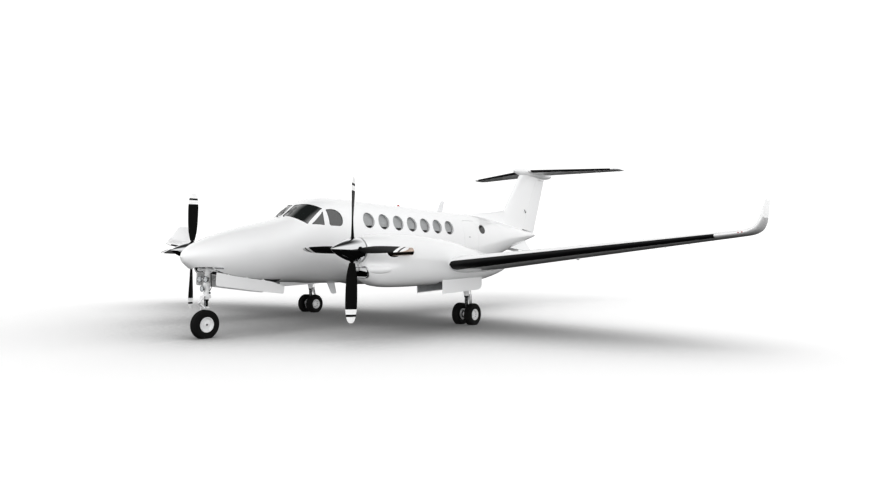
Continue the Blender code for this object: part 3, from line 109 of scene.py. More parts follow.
ahead = Vector((-math.sin(CAMERA_YAW) * math.cos(CAMERA_PITCH),
                math.cos(CAMERA_YAW) * math.cos(CAMERA_PITCH), math.sin(CAMERA_PITCH)))
right = ahead.cross(Vector((0, 0, 1))).normalized()
upward = right.cross(ahead)
rolled_right = right * math.cos(CAMERA_ROLL) + upward * math.sin(CAMERA_ROLL)
rolled_up = upward * math.cos(CAMERA_ROLL) - right * math.sin(CAMERA_ROLL)
camera = bpy.data.objects.new("camera", bpy.data.cameras.new("camera"))
camera.data.lens = CAMERA_LENS
camera.data.sensor_width = 36.0
camera.matrix_world = (Matrix.Translation(CAMERA_PLACE)
                       @ Matrix((rolled_right, rolled_up, -ahead)).transposed().to_4x4())
scene.collection.objects.link(camera)
scene.camera = camera

# Studio floor vinyl, lit and glowing white. A painted shadow, from ambient occlusion, darkens its colour
# and its glow where something stands near. Light passes up through it, and polished metal shows it
# painted dark in reflections
floor_vinyl = material("studio_floor_vinyl", "C8C8C8", Roughness=1.0, Specular_IOR_Level=0.0,
                       Emission_Strength=0.36)
shadow_lean = add_node(floor_vinyl, "CombineXYZ", dict(enumerate(SHADOW_LEAN)))
near = add_node(floor_vinyl, "AmbientOcclusion", {"Distance": SHADOW_REACH, "Normal": shadow_lean}, out=1,
                samples=8)
shade = add_node(floor_vinyl, "Math", {0: near, 1: SHADOW_POWER}, operation="POWER")
# Painted shadow: ambient occlusion darkens both the floor's colour and its glow
for socket in ("Base Color", "Emission Color"):
    add_node(floor_vinyl, "Mix", {0: shade, 6: tone("6C6C6C"), 7: tone("FFFFFF")}, out=2, to=socket,
             data_type="RGBA")
seen = floor_vinyl.node_tree.nodes["Principled BSDF"].outputs[0]
clear = add_node(floor_vinyl, "BsdfTransparent")
# Painted reflection: glossy rays see the floor near black
painted_dark_reflection = add_node(floor_vinyl, "BsdfDiffuse", {"Color": tone("0E0E0E")})
dim = add_node(floor_vinyl, "MixShader",
               {0: add_node(floor_vinyl, "LightPath", out=3), 1: clear, 2: painted_dark_reflection})
shown = add_node(floor_vinyl, "MixShader", {0: add_node(floor_vinyl, "LightPath"), 1: dim, 2: seen})
floor_vinyl.node_tree.links.new(shown, floor_vinyl.node_tree.nodes["Material Output"].inputs[0])
floor_mesh = bpy.data.meshes.new("floor")
floor_shape = bmesh.new()
bmesh.ops.create_grid(floor_shape, size=FLOOR_REACH)
floor_shape.to_mesh(floor_mesh)
floor_shape.free()
floor_mesh.materials.append(floor_vinyl)
floor = bpy.data.objects.new("floor", floor_mesh)
scene.collection.objects.link(floor)

overhead = bpy.data.lights.new("overhead", "SUN")
overhead.energy = OVERHEAD_LIGHT
overhead.angle = OVERHEAD_SPREAD
overhead_lamp = bpy.data.objects.new("overhead", overhead)
overhead_lamp.rotation_euler = (OVERHEAD_TILT, 0, CAMERA_YAW + OVERHEAD_TURN)
overhead_lamp.visible_glossy = False
scene.collection.objects.link(overhead_lamp)
# The dome is brightest at the horizon and fades below it, as a lit floor does towards what
# stands on it. Metal shows it dark overhead, like a studio's roof
dome = bpy.data.worlds.new("dome")
dome.use_nodes = True
back = dome.node_tree.nodes["Background"]
rise = add_node(dome, "SeparateXYZ", {0: add_node(dome, "TexCoord")}, out=2)
glow = add_node(dome, "MapRange", {0: rise, 1: 0.0, 2: 0.5, 3: HORIZON_LIGHT, 4: DOME_LIGHT})
under = add_node(dome, "MapRange", {0: rise, 1: -0.26, 2: -0.14, 3: 0.0, 4: 1.0})
soft = add_node(dome, "Math", {0: glow, 1: under}, operation="MULTIPLY")
roof = add_node(dome, "MapRange", {0: rise, 1: 0.70, 2: 0.92, 3: 1.15, 4: 0.04})
thrown = add_node(dome, "Mix", {0: add_node(dome, "LightPath", out=3), 2: soft, 3: roof})
lit = add_node(dome, "Mix", {0: add_node(dome, "LightPath"), 2: thrown, 3: DOME_SHOWN})
dome.node_tree.links.new(lit, back.inputs["Strength"])
back.inputs["Color"].default_value = (1.0, 1.0, 1.0, 1.0)
scene.world = dome

# The fuselage: five riveted aluminium shells that butt at the production
# joints, sprayed gloss white. The cabin's are hollow, one wall deep, and
# lined inside. Each is lofted through the same sections and then cut out.
FUSELAGE = (  # station, top, bottom, half width, height of the waist, squareness over and under it
    (0.00, 1.575, 1.530, 0.030, 1.550, 2.00, 2.00),
    (0.03, 1.650, 1.462, 0.100, 1.552, 2.00, 2.00),
    (0.10, 1.722, 1.395, 0.175, 1.555, 2.00, 2.00),
    (0.20, 1.788, 1.318, 0.245, 1.560, 2.00, 2.00),
    (0.35, 1.858, 1.226, 0.325, 1.560, 2.00, 2.00),
    (0.55, 1.938, 1.155, 0.395, 1.560, 2.00, 2.00),
    (0.90, 2.050, 1.086, 0.475, 1.580, 2.05, 2.05),
    (1.30, 2.150, 1.040, 0.545, 1.620, 2.10, 2.10),
    (1.75, 2.250, 1.018, 0.610, 1.660, 2.15, 2.15),
    (2.25, 2.380, 1.005, 0.655, 1.720, 2.45, 2.20),
    (2.62, 2.640, 0.985, 0.690, 1.760, 2.65, 2.25),
    (2.85, 2.760, 0.965, 0.708, 1.790, 2.75, 2.30),
    (3.10, 2.825, 0.950, 0.722, 1.810, 2.80, 2.35),
    (3.40, 2.852, 0.938, 0.735, 1.820, 2.80, 2.40),
    (3.80, 2.855, 0.930, 0.742, 1.830, 2.80, 2.40),
    (4.20, 2.840, 0.920, 0.745, 1.820, 2.80, 2.40),
    (5.55, 2.798, 0.878, 0.745, 1.780, 2.80, 2.40),
    (7.10, 2.750, 0.845, 0.745, 1.740, 2.80, 2.40),
    (7.55, 2.737, 0.858, 0.745, 1.742, 2.80, 2.40),
    (8.00, 2.722, 0.885, 0.745, 1.750, 2.75, 2.40),
    (8.65, 2.702, 0.990, 0.730, 1.780, 2.60, 2.35),
    (9.30, 2.675, 1.162, 0.655, 1.860, 2.45, 2.25),
    (10.0, 2.620, 1.360, 0.555, 1.950, 2.25, 2.15),
    (10.6, 2.550, 1.530, 0.465, 2.030, 2.10, 2.10),
    (11.5, 2.430, 1.768, 0.325, 2.090, 2.00, 2.00),
    (12.3, 2.315, 1.972, 0.190, 2.140, 2.00, 2.00),
    (12.9, 2.235, 2.112, 0.080, 2.170, 2.00, 2.00),
    (13.02, 2.200, 2.145, 0.030, 2.170, 2.00, 2.00),
)
HULL_SIDES = 96
HULL_PITCH = 0.065
WALL = 0.055
NOSE_JOINT, CABIN_JOINT, AFT_JOINT, TAIL_JOINT, TAIL_END = 1.75, 3.80, 7.55, 10.60, 13.02
NOSE_WELL = ((-0.30, 0.19, 0.90), (0.30, 2.05, 1.360))
WINDOW_COUNT, WINDOW_FIRST, WINDOW_PITCH = 7, 4.243, 0.5087
WINDOW_HEIGHT, WINDOW_FALL = 2.352, 0.0150
WINDOW_HALF_WIDTH, WINDOW_HALF_HEIGHT = 0.193, 0.185
AFT_WINDOW, AFT_WINDOW_HALF = (8.905, 2.255), (0.175, 0.130)
DOOR_START, DOOR_END, DOOR_SILL, DOOR_TOP = 7.95, 8.63, 1.190, 2.480
RUN_GAP = 0.006
PORT, STARBOARD = 1, -1
nose_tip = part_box("nose_section")[0].y


def at(x, station, z):
    """A point given by its station."""
    return Vector((x, nose_tip + station, z))


def curve_at(table, column, place):
    """One column of a table at any place, on a curve with no overshoot."""
    places = [row[0] for row in table]
    values = [row[column] for row in table]
    place = min(max(place, places[0]), places[-1])
    steps = [(values[k + 1] - values[k]) / (places[k + 1] - places[k]) for k in range(len(places) - 1)]
    here = max(k for k in range(len(steps)) if places[k] <= place)

    def slope(k):
        if k == 0:
            return steps[0]
        if k == len(steps):
            return steps[-1]
        if steps[k - 1] * steps[k] <= 0:
            return 0.0
        return 2 * steps[k - 1] * steps[k] / (steps[k - 1] + steps[k])

    width = places[here + 1] - places[here]
    t = (place - places[here]) / width
    return ((1 + 2 * t) * (1 - t) ** 2 * values[here] + t * (1 - t) ** 2 * width * slope(here)
            + t * t * (3 - 2 * t) * values[here + 1] + t * t * (t - 1) * width * slope(here + 1))


def oval(table, station, sides, inset=0.0, centre_x=0.0):
    """The ring of a body at one station, drawn in by an inset."""
    top, bottom, half_width, waist, above, below = [curve_at(table, c, station) for c in range(1, 7)]
    ring = []
    for k in range(sides):
        angle = 2 * math.pi * k / sides
        across, up = math.cos(angle), math.sin(angle)
        power = 2 / (above if up >= 0 else below)
        rise = (top - inset - waist) if up >= 0 else (waist - bottom - inset)
        ring.append(at(centre_x + (half_width - inset) * math.copysign(abs(across) ** power, across),
                       station, waist + rise * math.copysign(abs(up) ** power, up)))
    return ring


def stations(start, end, pitch):
    """Evenly spread stations from start to end."""
    count = max(1, round((end - start) / pitch))
    return [start + (end - start) * k / count for k in range(count + 1)]


def hull_half_width(station, z):
    """Half the fuselage's width at a height."""
    top, bottom, half_width, waist, above, below = [curve_at(FUSELAGE, c, station) for c in range(1, 7)]
    rise, power = (top - waist, above) if z > waist else (waist - bottom, below)
    return half_width * max(0.0, 1 - (abs(z - waist) / rise) ** power) ** (1 / power)


def loft(shape, rows, loop=False, paint=0):
    """Skin rings. A loop joins the last to the first, and otherwise both ends are closed.

    paint is the material's number, or one number for each step between rings.
    """
    made = [[shape.verts.new(point) for point in row] for row in rows]
    pairs = list(zip(made, made[1:])) + ([(made[-1], made[0])] if loop else [])
    for step, (near, far) in enumerate(pairs):
        for k in range(len(near)):
            after = (k + 1) % len(near)
            face = shape.faces.new((near[k], near[after], far[after], far[k]))
            face.material_index = paint if isinstance(paint, int) else paint[step]
    if not loop:
        for ring, which in ((made[0], 0), (made[-1], -1)):
            face = shape.faces.new(ring)
            face.material_index = paint if isinstance(paint, int) else paint[which]


def piece(name, shape, *finishes, sharp=32.0, weld=0.0):
    """Turn a shape into an object, smooth but for its sharp edges."""
    if weld:
        bmesh.ops.remove_doubles(shape, verts=shape.verts, dist=weld)
    bmesh.ops.recalc_face_normals(shape, faces=shape.faces)
    mesh = bpy.data.meshes.new(name)
    shape.to_mesh(mesh)
    shape.free()
    for finish in finishes:
        mesh.materials.append(finish)
    mesh.shade_smooth()
    mesh.set_sharp_from_angle(angle=math.radians(sharp))
    obj = bpy.data.objects.new(name, mesh)
    scene.collection.objects.link(obj)
    return obj


def carve(obj, shape, keep=False):
    """Cut a shape out of a skin, or keep what is in it. The skin's shading stays as it was."""
    tool = piece("cutter", shape)
    step = obj.modifiers.new("cut", "BOOLEAN")
    step.operation = "INTERSECT" if keep else "DIFFERENCE"
    step.object = tool
    whole = obj.data
    cut_mesh = bpy.data.meshes.new_from_object(obj.evaluated_get(bpy.context.evaluated_depsgraph_get()))
    obj.modifiers.clear()
    obj.data = cut_mesh
    bpy.data.objects.remove(tool, do_unlink=True)
    tree = BVHTree.FromPolygons([v.co for v in whole.vertices], [p.vertices for p in whole.polygons])
    whole_corners = [corner.vector.copy() for corner in whole.corner_normals]
    cut_mesh.set_sharp_from_angle(angle=math.radians(32))
    corners = [corner.vector.copy() for corner in cut_mesh.corner_normals]
    for face in cut_mesh.polygons:
        for loop in face.loop_indices:
            spot = cut_mesh.vertices[cut_mesh.loops[loop].vertex_index].co.lerp(face.center, 0.002)
            place, flat, found, reach = tree.find_nearest(spot)
            if reach < 0.0004 and flat.dot(face.normal) > 0.9:
                near = whole.polygons[found]
                shares = poly_3d_calc([whole.vertices[v].co for v in near.vertices], place)
                blend = Vector()
                for share, corner in zip(shares, near.loop_indices):
                    blend += whole_corners[corner] * share
                corners[loop] = blend.normalized()
    cut_mesh.normals_split_custom_set(corners)
    bpy.data.meshes.remove(whole)


def block(shape, low, high, edge=0.0, paint=0, turn=None):
    """A block between two corners, with its edges rounded off."""
    low, high = Vector(low), Vector(high)
    made = bmesh.new()
    bmesh.ops.create_cube(made, size=1.0)
    bmesh.ops.scale(made, vec=high - low, verts=made.verts)
    if edge:
        bmesh.ops.bevel(made, geom=list(made.edges), offset=edge, segments=3, profile=0.5,
                        affect="EDGES")
    bmesh.ops.translate(made, vec=(low + high) / 2, verts=made.verts)
    if turn:
        bmesh.ops.transform(made, matrix=turn, verts=made.verts)
    for face in made.faces:
        face.material_index = paint
    spare = bpy.data.meshes.new("spare")
    made.to_mesh(spare)
    made.free()
    shape.from_mesh(spare)
    bpy.data.meshes.remove(spare)


def sheet_out(shape, outline, axis, start, end, paint=0):
    """A flat outline drawn out along X or Y. Its points are (station, z) or (x, z)."""
    rows = []
    for along in (start, end):
        rows.append([at(along, *point) if axis == "X" else at(point[0], along, point[1])
                     for point in outline])
    loft(shape, rows, paint=paint)


def ellipse(centre, half_width, half_height, sides=48):
    """An ellipse's points."""
    return [(centre[0] + half_width * math.cos(2 * math.pi * k / sides),
             centre[1] + half_height * math.sin(2 * math.pi * k / sides)) for k in range(sides)]


def round_off(points, reaches, steps=5):
    """Round an outline's corners. Each reach is how far from its corner the curve starts."""
    rounded = []
    for k, (corner, reach) in enumerate(zip(points, reaches)):
        corner = Vector(corner)
        ends = []
        for other in (Vector(points[k - 1]), Vector(points[(k + 1) % len(points)])):
            length = (other - corner).length
            ends.append(corner.lerp(other, min(reach / length, 0.498)))
        for n in range(steps + 1):
            t = n / steps
            rounded.append(ends[0] * (1 - t) ** 2 + corner * (2 * t * (1 - t)) + ends[1] * t * t)
    return rounded


def clouds(finish, scale, dark, light, detail=5.0):
    """Let a finish's colour drift between two tones."""
    place = add_node(finish, "TexCoord", out=3)
    drift = add_node(finish, "TexNoise", {"Vector": place, "Scale": scale, "Detail": detail})
    add_node(finish, "Mix", {0: drift, 6: tone(dark), 7: tone(light)}, out=2, to="Base Color",
             data_type="RGBA")


def smears(finish, scale, low, high, detail=2.0):
    """Let a finish's roughness drift between two values, as wiping leaves it."""
    place = add_node(finish, "TexCoord", out=3)
    drift = add_node(finish, "TexNoise", {"Vector": place, "Scale": scale, "Detail": detail})
    add_node(finish, "MapRange", {0: drift, 3: low, 4: high}, to="Roughness")


def grained(finish, pitch, strength, depth, detail=2.0, kind="TexNoise", **settings):
    """Press a grain of a pitch and a depth in metres into a finish."""
    place = add_node(finish, "TexCoord", out=3)
    grain = add_node(finish, kind, {"Vector": place, "Scale": 1 / pitch, "Detail": detail}, **settings)
    add_node(finish, "Bump", {"Height": grain, "Strength": strength, "Distance": depth}, to="Normal")


# Aircraft polyurethane: a hard white gloss with the faint orange peel of a
# sprayed coat, and a touch of unevenness that keeps wide panels from looking flat
PEEL = 0.006  # metres across one dimple, drawn coarser than real to show
gloss_white = material("polyurethane_gloss_white", "F3F4F5", Roughness=0.32, IOR=1.5, Coat_Weight=0.8,
                       Coat_Roughness=0.04, Coat_IOR=1.5)
grained(gloss_white, PEEL, 0.12, 0.00005, detail=1.0)
clouds(gloss_white, 0.9, "F1F2F3", "F6F6F6", detail=3.0)

# Cabin lining: moulded panels wrapped in pale vinyl, dull, with a fine grain. Its colour is darkened
# as painted shade, for the dim cabin inside
lining_vinyl_and_shade = material("cabin_lining_painted_shade", "8E8A82", Roughness=0.7)
grained(lining_vinyl_and_shade, 0.004, 0.3, 0.0003, detail=3.0)

# Wheel bay primer: flat, its dark grey partly painted shade for the dim inside of the bay
well_primer_and_shade = material("dark_grey_well_primer_painted_shade", "2E2F31", Roughness=0.8, Specular_IOR_Level=0.2)
clouds(well_primer_and_shade, 8.0, "262729", "38393B")

window_places = [(WINDOW_FIRST + k * WINDOW_PITCH, WINDOW_HEIGHT - k * WINDOW_FALL)
                 for k in range(WINDOW_COUNT)]
CENTRE = at(0.0, 3.30, 1.90)  # the windshields' edges point at it
WINDSHIELD = ((0.035, 2.330, 2.392), (0.30, 2.345, 2.362), (0.455, 2.400, 2.305), (0.595, 2.510, 2.219),
              (0.560, 2.943, 2.572), (0.38, 2.752, 2.654), (0.035, 2.622, 2.662))
WINDSHIELD_BENDS = (0.02, 1.0, 1.0, 0.015, 0.012, 1.0, 0.02)
TRIANGLE = ((2.925, 2.500), (2.600, 2.222), (2.905, 2.212))
TRIANGLE_BENDS = (0.018, 0.018, 0.018)
SIDE_WINDOW = ((3.020, 2.548), (3.210, 2.565), (3.330, 2.530), (3.415, 2.430), (3.425, 2.300),
               (3.370, 2.200), (3.045, 2.205))
SIDE_WINDOW_BENDS = (0.03, 1.0, 1.0, 1.0, 1.0, 0.06, 0.05)
triangle_outline = round_off(TRIANGLE, TRIANGLE_BENDS)
side_outline = round_off(SIDE_WINDOW, SIDE_WINDOW_BENDS)
windshield_outlines = {side: round_off([at(side * x, s, z) for x, s, z in WINDSHIELD], WINDSHIELD_BENDS)
                       for side in (PORT, STARBOARD)}
DOOR_OUTLINE = ((DOOR_START - RUN_GAP, DOOR_SILL - 0.020), (DOOR_END + RUN_GAP, DOOR_SILL - 0.020),
                (DOOR_END + RUN_GAP, DOOR_TOP + RUN_GAP), (DOOR_START - RUN_GAP, DOOR_TOP + RUN_GAP))
CORNER = 0.10

nose_shape = bmesh.new()
nose_dome = []
for step in range(5):
    angle = math.pi / 2 * step / 5
    first = oval(FUSELAGE, 0.0, HULL_SIDES)
    middle = sum(first, Vector()) / HULL_SIDES
    nose_dome.append([middle + (p - middle) * max(math.sin(angle), 0.02)
                      + Vector((0, -0.009 * math.cos(angle), 0)) for p in first])
loft(nose_shape, nose_dome + [oval(FUSELAGE, s, HULL_SIDES)
                              for s in (0.0, 0.006, 0.014, 0.024, 0.036, 0.052, 0.074, 0.1)]
     + [oval(FUSELAGE, s, HULL_SIDES) for s in stations(0.13, NOSE_JOINT, 0.05)])
nose = piece("nose_skin", nose_shape, gloss_white, well_primer_and_shade)
well = bmesh.new()
block(well, at(*NOSE_WELL[0]), at(*NOSE_WELL[1]), paint=1)
carve(nose, well)
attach(nose, "airframe")
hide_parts("nose_section")


def hull_layer(name, start, end, outside, inside, *finishes):
    """A length of the fuselage's skin between two depths, with a finish for each face."""
    shape = bmesh.new()
    outer = [oval(FUSELAGE, s, HULL_SIDES, outside) for s in stations(start, end, HULL_PITCH)]
    inner = [oval(FUSELAGE, s, HULL_SIDES, inside) for s in reversed(stations(start, end, HULL_PITCH))]
    loft(shape, outer + inner, loop=True, paint=[0] * len(outer) + [len(finishes) - 1] * len(inner))
    return piece(name, shape, *finishes)


cockpit = hull_layer("cockpit_skin", NOSE_JOINT, CABIN_JOINT, 0.0, WALL, gloss_white, lining_vinyl_and_shade)
cockpit.data.materials.append(well_primer_and_shade)
holes = bmesh.new()
block(holes, at(*NOSE_WELL[0]), at(*NOSE_WELL[1]), paint=2)
for side in (PORT, STARBOARD):
    rim = windshield_outlines[side]
    loft(holes, [[CENTRE.lerp(p, share) for p in rim] for share in (0.72, 1.25)])
    for outline in (triangle_outline, side_outline):
        sheet_out(holes, outline, "X", side * 0.42, side * 0.92)
carve(cockpit, holes)
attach(cockpit, "airframe")
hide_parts("cockpit_shell")

cabin = hull_layer("cabin_skin", CABIN_JOINT, AFT_JOINT, 0.0, WALL, gloss_white, lining_vinyl_and_shade)
holes = bmesh.new()
for side in (PORT, STARBOARD):
    for spot in window_places:
        sheet_out(holes, ellipse(spot, WINDOW_HALF_WIDTH, WINDOW_HALF_HEIGHT), "X", side * 0.4, side * 0.9)
carve(cabin, holes)
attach(cabin, "airframe")
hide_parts("cabin_shell")

aft = hull_layer("aft_skin", AFT_JOINT, TAIL_JOINT, 0.0, WALL, gloss_white, lining_vinyl_and_shade)
holes = bmesh.new()
for side in (PORT, STARBOARD):
    sheet_out(holes, ellipse(AFT_WINDOW, *AFT_WINDOW_HALF), "X", side * 0.3, side * 0.9)
sheet_out(holes, round_off(DOOR_OUTLINE, (CORNER * 1.4,) * 4), "X", 0.35, 0.95)
carve(aft, holes)
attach(aft, "airframe")
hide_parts("aft_shell")

tail_shape = bmesh.new()
loft(tail_shape, [oval(FUSELAGE, s, HULL_SIDES) for s in stations(TAIL_JOINT, TAIL_END, 0.06)])
STRAKE = ((11.10, 1.72), (12.30, 2.02), (12.37, 1.62), (12.20, 1.585))
for side in (PORT, STARBOARD):
    pivot = Matrix.Translation((side * 0.106, 0, 1.90))
    lean = pivot @ Matrix.Rotation(side * math.radians(-28), 4, "Y") @ pivot.inverted()
    loft(tail_shape, [[lean @ at(side * x, *p) for p in round_off(STRAKE, (0.02, 0.02, 0.04, 0.03))]
                      for x in (0.10, 0.112)])
tail = piece("tail_cone_skin", tail_shape, gloss_white)
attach(tail, "airframe")
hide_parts("tail_cone")

# The wing: stressed aluminium skins over spars, one centre section under the
# cabin and two outer panels that turn up into winglets. Its trailing edge is
# open where flaps and ailerons hang, with a rounded cove ahead of each.
WING_CENTRE = ((0.00, 3.80, 1.070, 6.38, 0.905, 0.155), (2.40, 3.86, 1.295, 6.34, 1.165, 0.155))
WING_OUTER = ((2.86, 4.110, 1.345, 6.340, 1.215, 0.165), (8.35, 4.520, 1.895, 5.440, 1.858, 0.120))
WINGLET = (  # way along, x, leading edge station and height, trailing edge, thickness, lean
    (0.00, 8.20, 4.509, 1.880, 5.465, 1.840, 0.121, 0.0),
    (0.15, 8.35, 4.520, 1.895, 5.440, 1.858, 0.120, 0.0),
    (0.39, 8.58, 4.580, 1.925, 5.465, 1.895, 0.110, 14.0),
    (0.59, 8.72, 4.680, 1.990, 5.490, 1.980, 0.100, 48.0),
    (0.80, 8.775, 4.840, 2.120, 5.500, 2.120, 0.095, 76.0),
    (1.31, 8.820, 5.170, 2.470, 5.467, 2.475, 0.090, 84.0),
    (1.33, 8.822, 5.200, 2.485, 5.455, 2.487, 0.040, 84.0),
)
CAMBER = 0.018
INNER_FLAP, OUTER_FLAP, AILERON = (0.98, 2.02, 0.76), (3.30, 5.26, 0.76), (5.36, 7.95, 0.77)
END_GAP = 0.014
LIP = 0.003
FRONT_STEPS, AFT_STEPS, NOSE_STEPS = 20, 8, 14
UP = Vector((0, 0, 1))


def foil_skin(place, share):
    """The upper and lower skin points of an aerofoil at a share of its chord."""
    lead, trail, up, thickness, camber = place
    half = 5 * thickness * (0.2969 * math.sqrt(share) - 0.1260 * share - 0.3516 * share ** 2
                            + 0.2843 * share ** 3 - 0.1015 * share ** 4)
    line = 4 * camber * share * (1 - share)
    chord = (trail - lead).length
    spot = lead.lerp(trail, share)
    return spot + up * (chord * (line + half)), spot + up * (chord * (line - half))


def hinge_at(place, hinge):
    """The centre and radius of the round nose of a hinged surface."""
    over, under = foil_skin(place, hinge)
    return (over + under) / 2, (over - under).length / 2


def foil_row(place, hinge, open_bay=False):
    """An aerofoil's outline, whole or with the cove of a hinged surface at its back."""
    lead, trail, up = place[:3]
    centre, radius = hinge_at(place, hinge)
    reach = radius + RUN_GAP
    forward = (lead - trail).normalized()
    lip = hinge - math.sqrt(reach ** 2 - (radius - LIP) ** 2) / (trail - lead).length
    over, under = [], []
    for k in range(FRONT_STEPS + 1):
        high, low = foil_skin(place, lip * (1 - math.cos(math.pi / 2 * k / FRONT_STEPS)))
        over.append(high)
        under.append(low)
    opening = math.asin((radius - LIP) / reach)
    for k in range(1, AFT_STEPS + 1):
        if open_bay:
            angle = opening * (AFT_STEPS - k) / (AFT_STEPS - 1)
            spot = centre + forward * (reach * math.cos(angle))
            high, low = spot + up * (reach * math.sin(angle)), spot - up * (reach * math.sin(angle))
        else:
            high, low = foil_skin(place, lip + (1 - lip) * k / AFT_STEPS)
        over.append(high)
        under.append(low)
    return over[::-1] + under[1:]


def surface_row(place, hinge):
    """The outline of a hinged surface: a round nose and the aerofoil's tail."""
    lead, trail, up = place[:3]
    centre, radius = hinge_at(place, hinge)
    forward = (lead - trail).normalized()
    skins = [foil_skin(place, hinge + (1 - hinge) * k / AFT_STEPS) for k in range(AFT_STEPS, 0, -1)]
    nose_arc = [centre + up * (radius * math.cos(math.pi * k / NOSE_STEPS))
                + forward * (radius * math.sin(math.pi * k / NOSE_STEPS)) for k in range(NOSE_STEPS + 1)]
    return [high for high, low in skins] + nose_arc + [low for high, low in skins][::-1]


def wing_place(table, x, side):
    """The aerofoil of the wing at x."""
    share = (x - table[0][0]) / (table[1][0] - table[0][0])
    row = [a + (b - a) * share for a, b in zip(*table)]
    return at(side * x, row[1], row[2]), at(side * x, row[3], row[4]), UP, row[5], CAMBER


def winglet_place(way, side):
    """The aerofoil of the winglet, at a way along it."""
    x, lead_y, lead_z, trail_y, trail_z, thickness, lean = [curve_at(WINGLET, c, way) for c in range(1, 8)]
    lean = math.radians(lean)
    return (at(side * x, lead_y, lead_z), at(side * x, trail_y, trail_z),
            Vector((-side * math.sin(lean), 0, math.cos(lean))), thickness, CAMBER)


def bay_rows(start, end, place_at, hinge):
    """The four outlines round a bay: whole, open, open, whole."""
    before, after = start - END_GAP, end + END_GAP
    return [foil_row(place_at(x), hinge, is_open) for x, is_open in
            ((before, False), (before, True), (after, True), (after, False))]


centre_shape = bmesh.new()
port_rows, starboard_rows = [
    bay_rows(*INNER_FLAP[:2], lambda x: wing_place(WING_CENTRE, x, side), INNER_FLAP[2])
    + [foil_row(wing_place(WING_CENTRE, WING_CENTRE[1][0], side), INNER_FLAP[2])]
    for side in (PORT, STARBOARD)]
root_row = foil_row(wing_place(WING_CENTRE, 0.0, PORT), INNER_FLAP[2])
loft(centre_shape, starboard_rows[::-1] + [root_row] + port_rows)
wing_centre = piece("wing_centre_skin", centre_shape, gloss_white, weld=0.00002)
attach(wing_centre, "airframe")
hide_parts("wing_centre")

for side, hand in ((PORT, "left"), (STARBOARD, "right")):
    outer_at = lambda x: wing_place(WING_OUTER, x, side)
    rows = [foil_row(outer_at(WING_OUTER[0][0]), OUTER_FLAP[2])]
    rows += bay_rows(*OUTER_FLAP[:2], outer_at, OUTER_FLAP[2])
    rows += bay_rows(*AILERON[:2], outer_at, AILERON[2])
    rows += [foil_row(winglet_place(way, side), AILERON[2]) for way in stations(0.0, 1.31, 0.05)]
    rows.append(foil_row(winglet_place(1.33, side), AILERON[2]))
    wing_shape = bmesh.new()
    loft(wing_shape, rows)
    wing = piece(f"outer_wing_skin_{hand}", wing_shape, gloss_white, weld=0.00002)
    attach(wing, "airframe")
    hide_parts(f"outer_wing_{hand}")

# Flaps, ailerons: light riveted surfaces on pins at their ends. Ailerons have
# static wicks at the trailing edge, thin carbon rods that bleed off charge.
carbon_rod = material("pultruded_carbon_rod", "1A1A1B", Roughness=0.5)
clouds(carbon_rod, 40.0, "121213", "242425")
WICK_LENGTH, WICK_RADIUS = 0.13, 0.0025
PIN_RADIUS, PIN_REACH = 0.010, 0.036


def bar(shape, start, end, radius, end_radius=None, sides=20, paint=0):
    """A round bar or cone between two points."""
    start, end = Vector(start), Vector(end)
    turn = UP.rotation_difference(end - start).to_matrix()
    rows = []
    for spot, reach in ((start, radius), (end, radius if end_radius is None else end_radius)):
        rows.append([spot + turn @ Vector((reach * math.cos(2 * math.pi * k / sides),
                                           reach * math.sin(2 * math.pi * k / sides), 0))
                     for k in range(sides)])
    loft(shape, rows, paint=paint)


def hinged(name, places, hinges, wicks):
    """A hinged surface through its sections, with its pins and its wicks."""
    shape = bmesh.new()
    loft(shape, [surface_row(place, hinge) for place, hinge in zip(places, hinges)])
    first, last = [hinge_at(places[k], hinges[k])[0] for k in (0, -1)]
    along = (last - first).normalized()
    bar(shape, first - along * PIN_REACH, last + along * PIN_REACH, PIN_RADIUS, sides=16)
    for share in wicks:
        spot = places[0][1].lerp(places[-1][1], share)
        bar(shape, spot - Vector((0, 0.01, 0)), spot + Vector((0, WICK_LENGTH, -0.012)), WICK_RADIUS,
            sides=6, paint=1)
    return piece(name, shape, gloss_white, carbon_rod)


for side, hand in ((PORT, "left"), (STARBOARD, "right")):
    for node, table, span, wicks in (("inner_flap", WING_CENTRE, INNER_FLAP, ()),
                                     ("outer_flap", WING_OUTER, OUTER_FLAP, ()),
                                     ("aileron", WING_OUTER, AILERON, (0.62, 0.8, 0.97))):
        made = hinged(f"{node}_skin_{hand}", [wing_place(table, x, side) for x in span[:2]],
                      (span[2], span[2]), wicks)
        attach(made, f"{hand}_{node}")
        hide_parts(f"{node}_{hand}")

# De-icing boots: black neoprene sheet glued round the leading edges, with
# tubes along the span that swell to crack the ice. Satin, darker than shadow.
neoprene = material("neoprene_boot", "0B0B0C", Roughness=0.42, Specular_IOR_Level=0.15)
clouds(neoprene, 2.2, "070708", "161617", detail=6.0)
grained(neoprene, 0.003, 0.25, 0.0002)
BOOT_THICK = 0.0025
BOOT_STEPS = 12


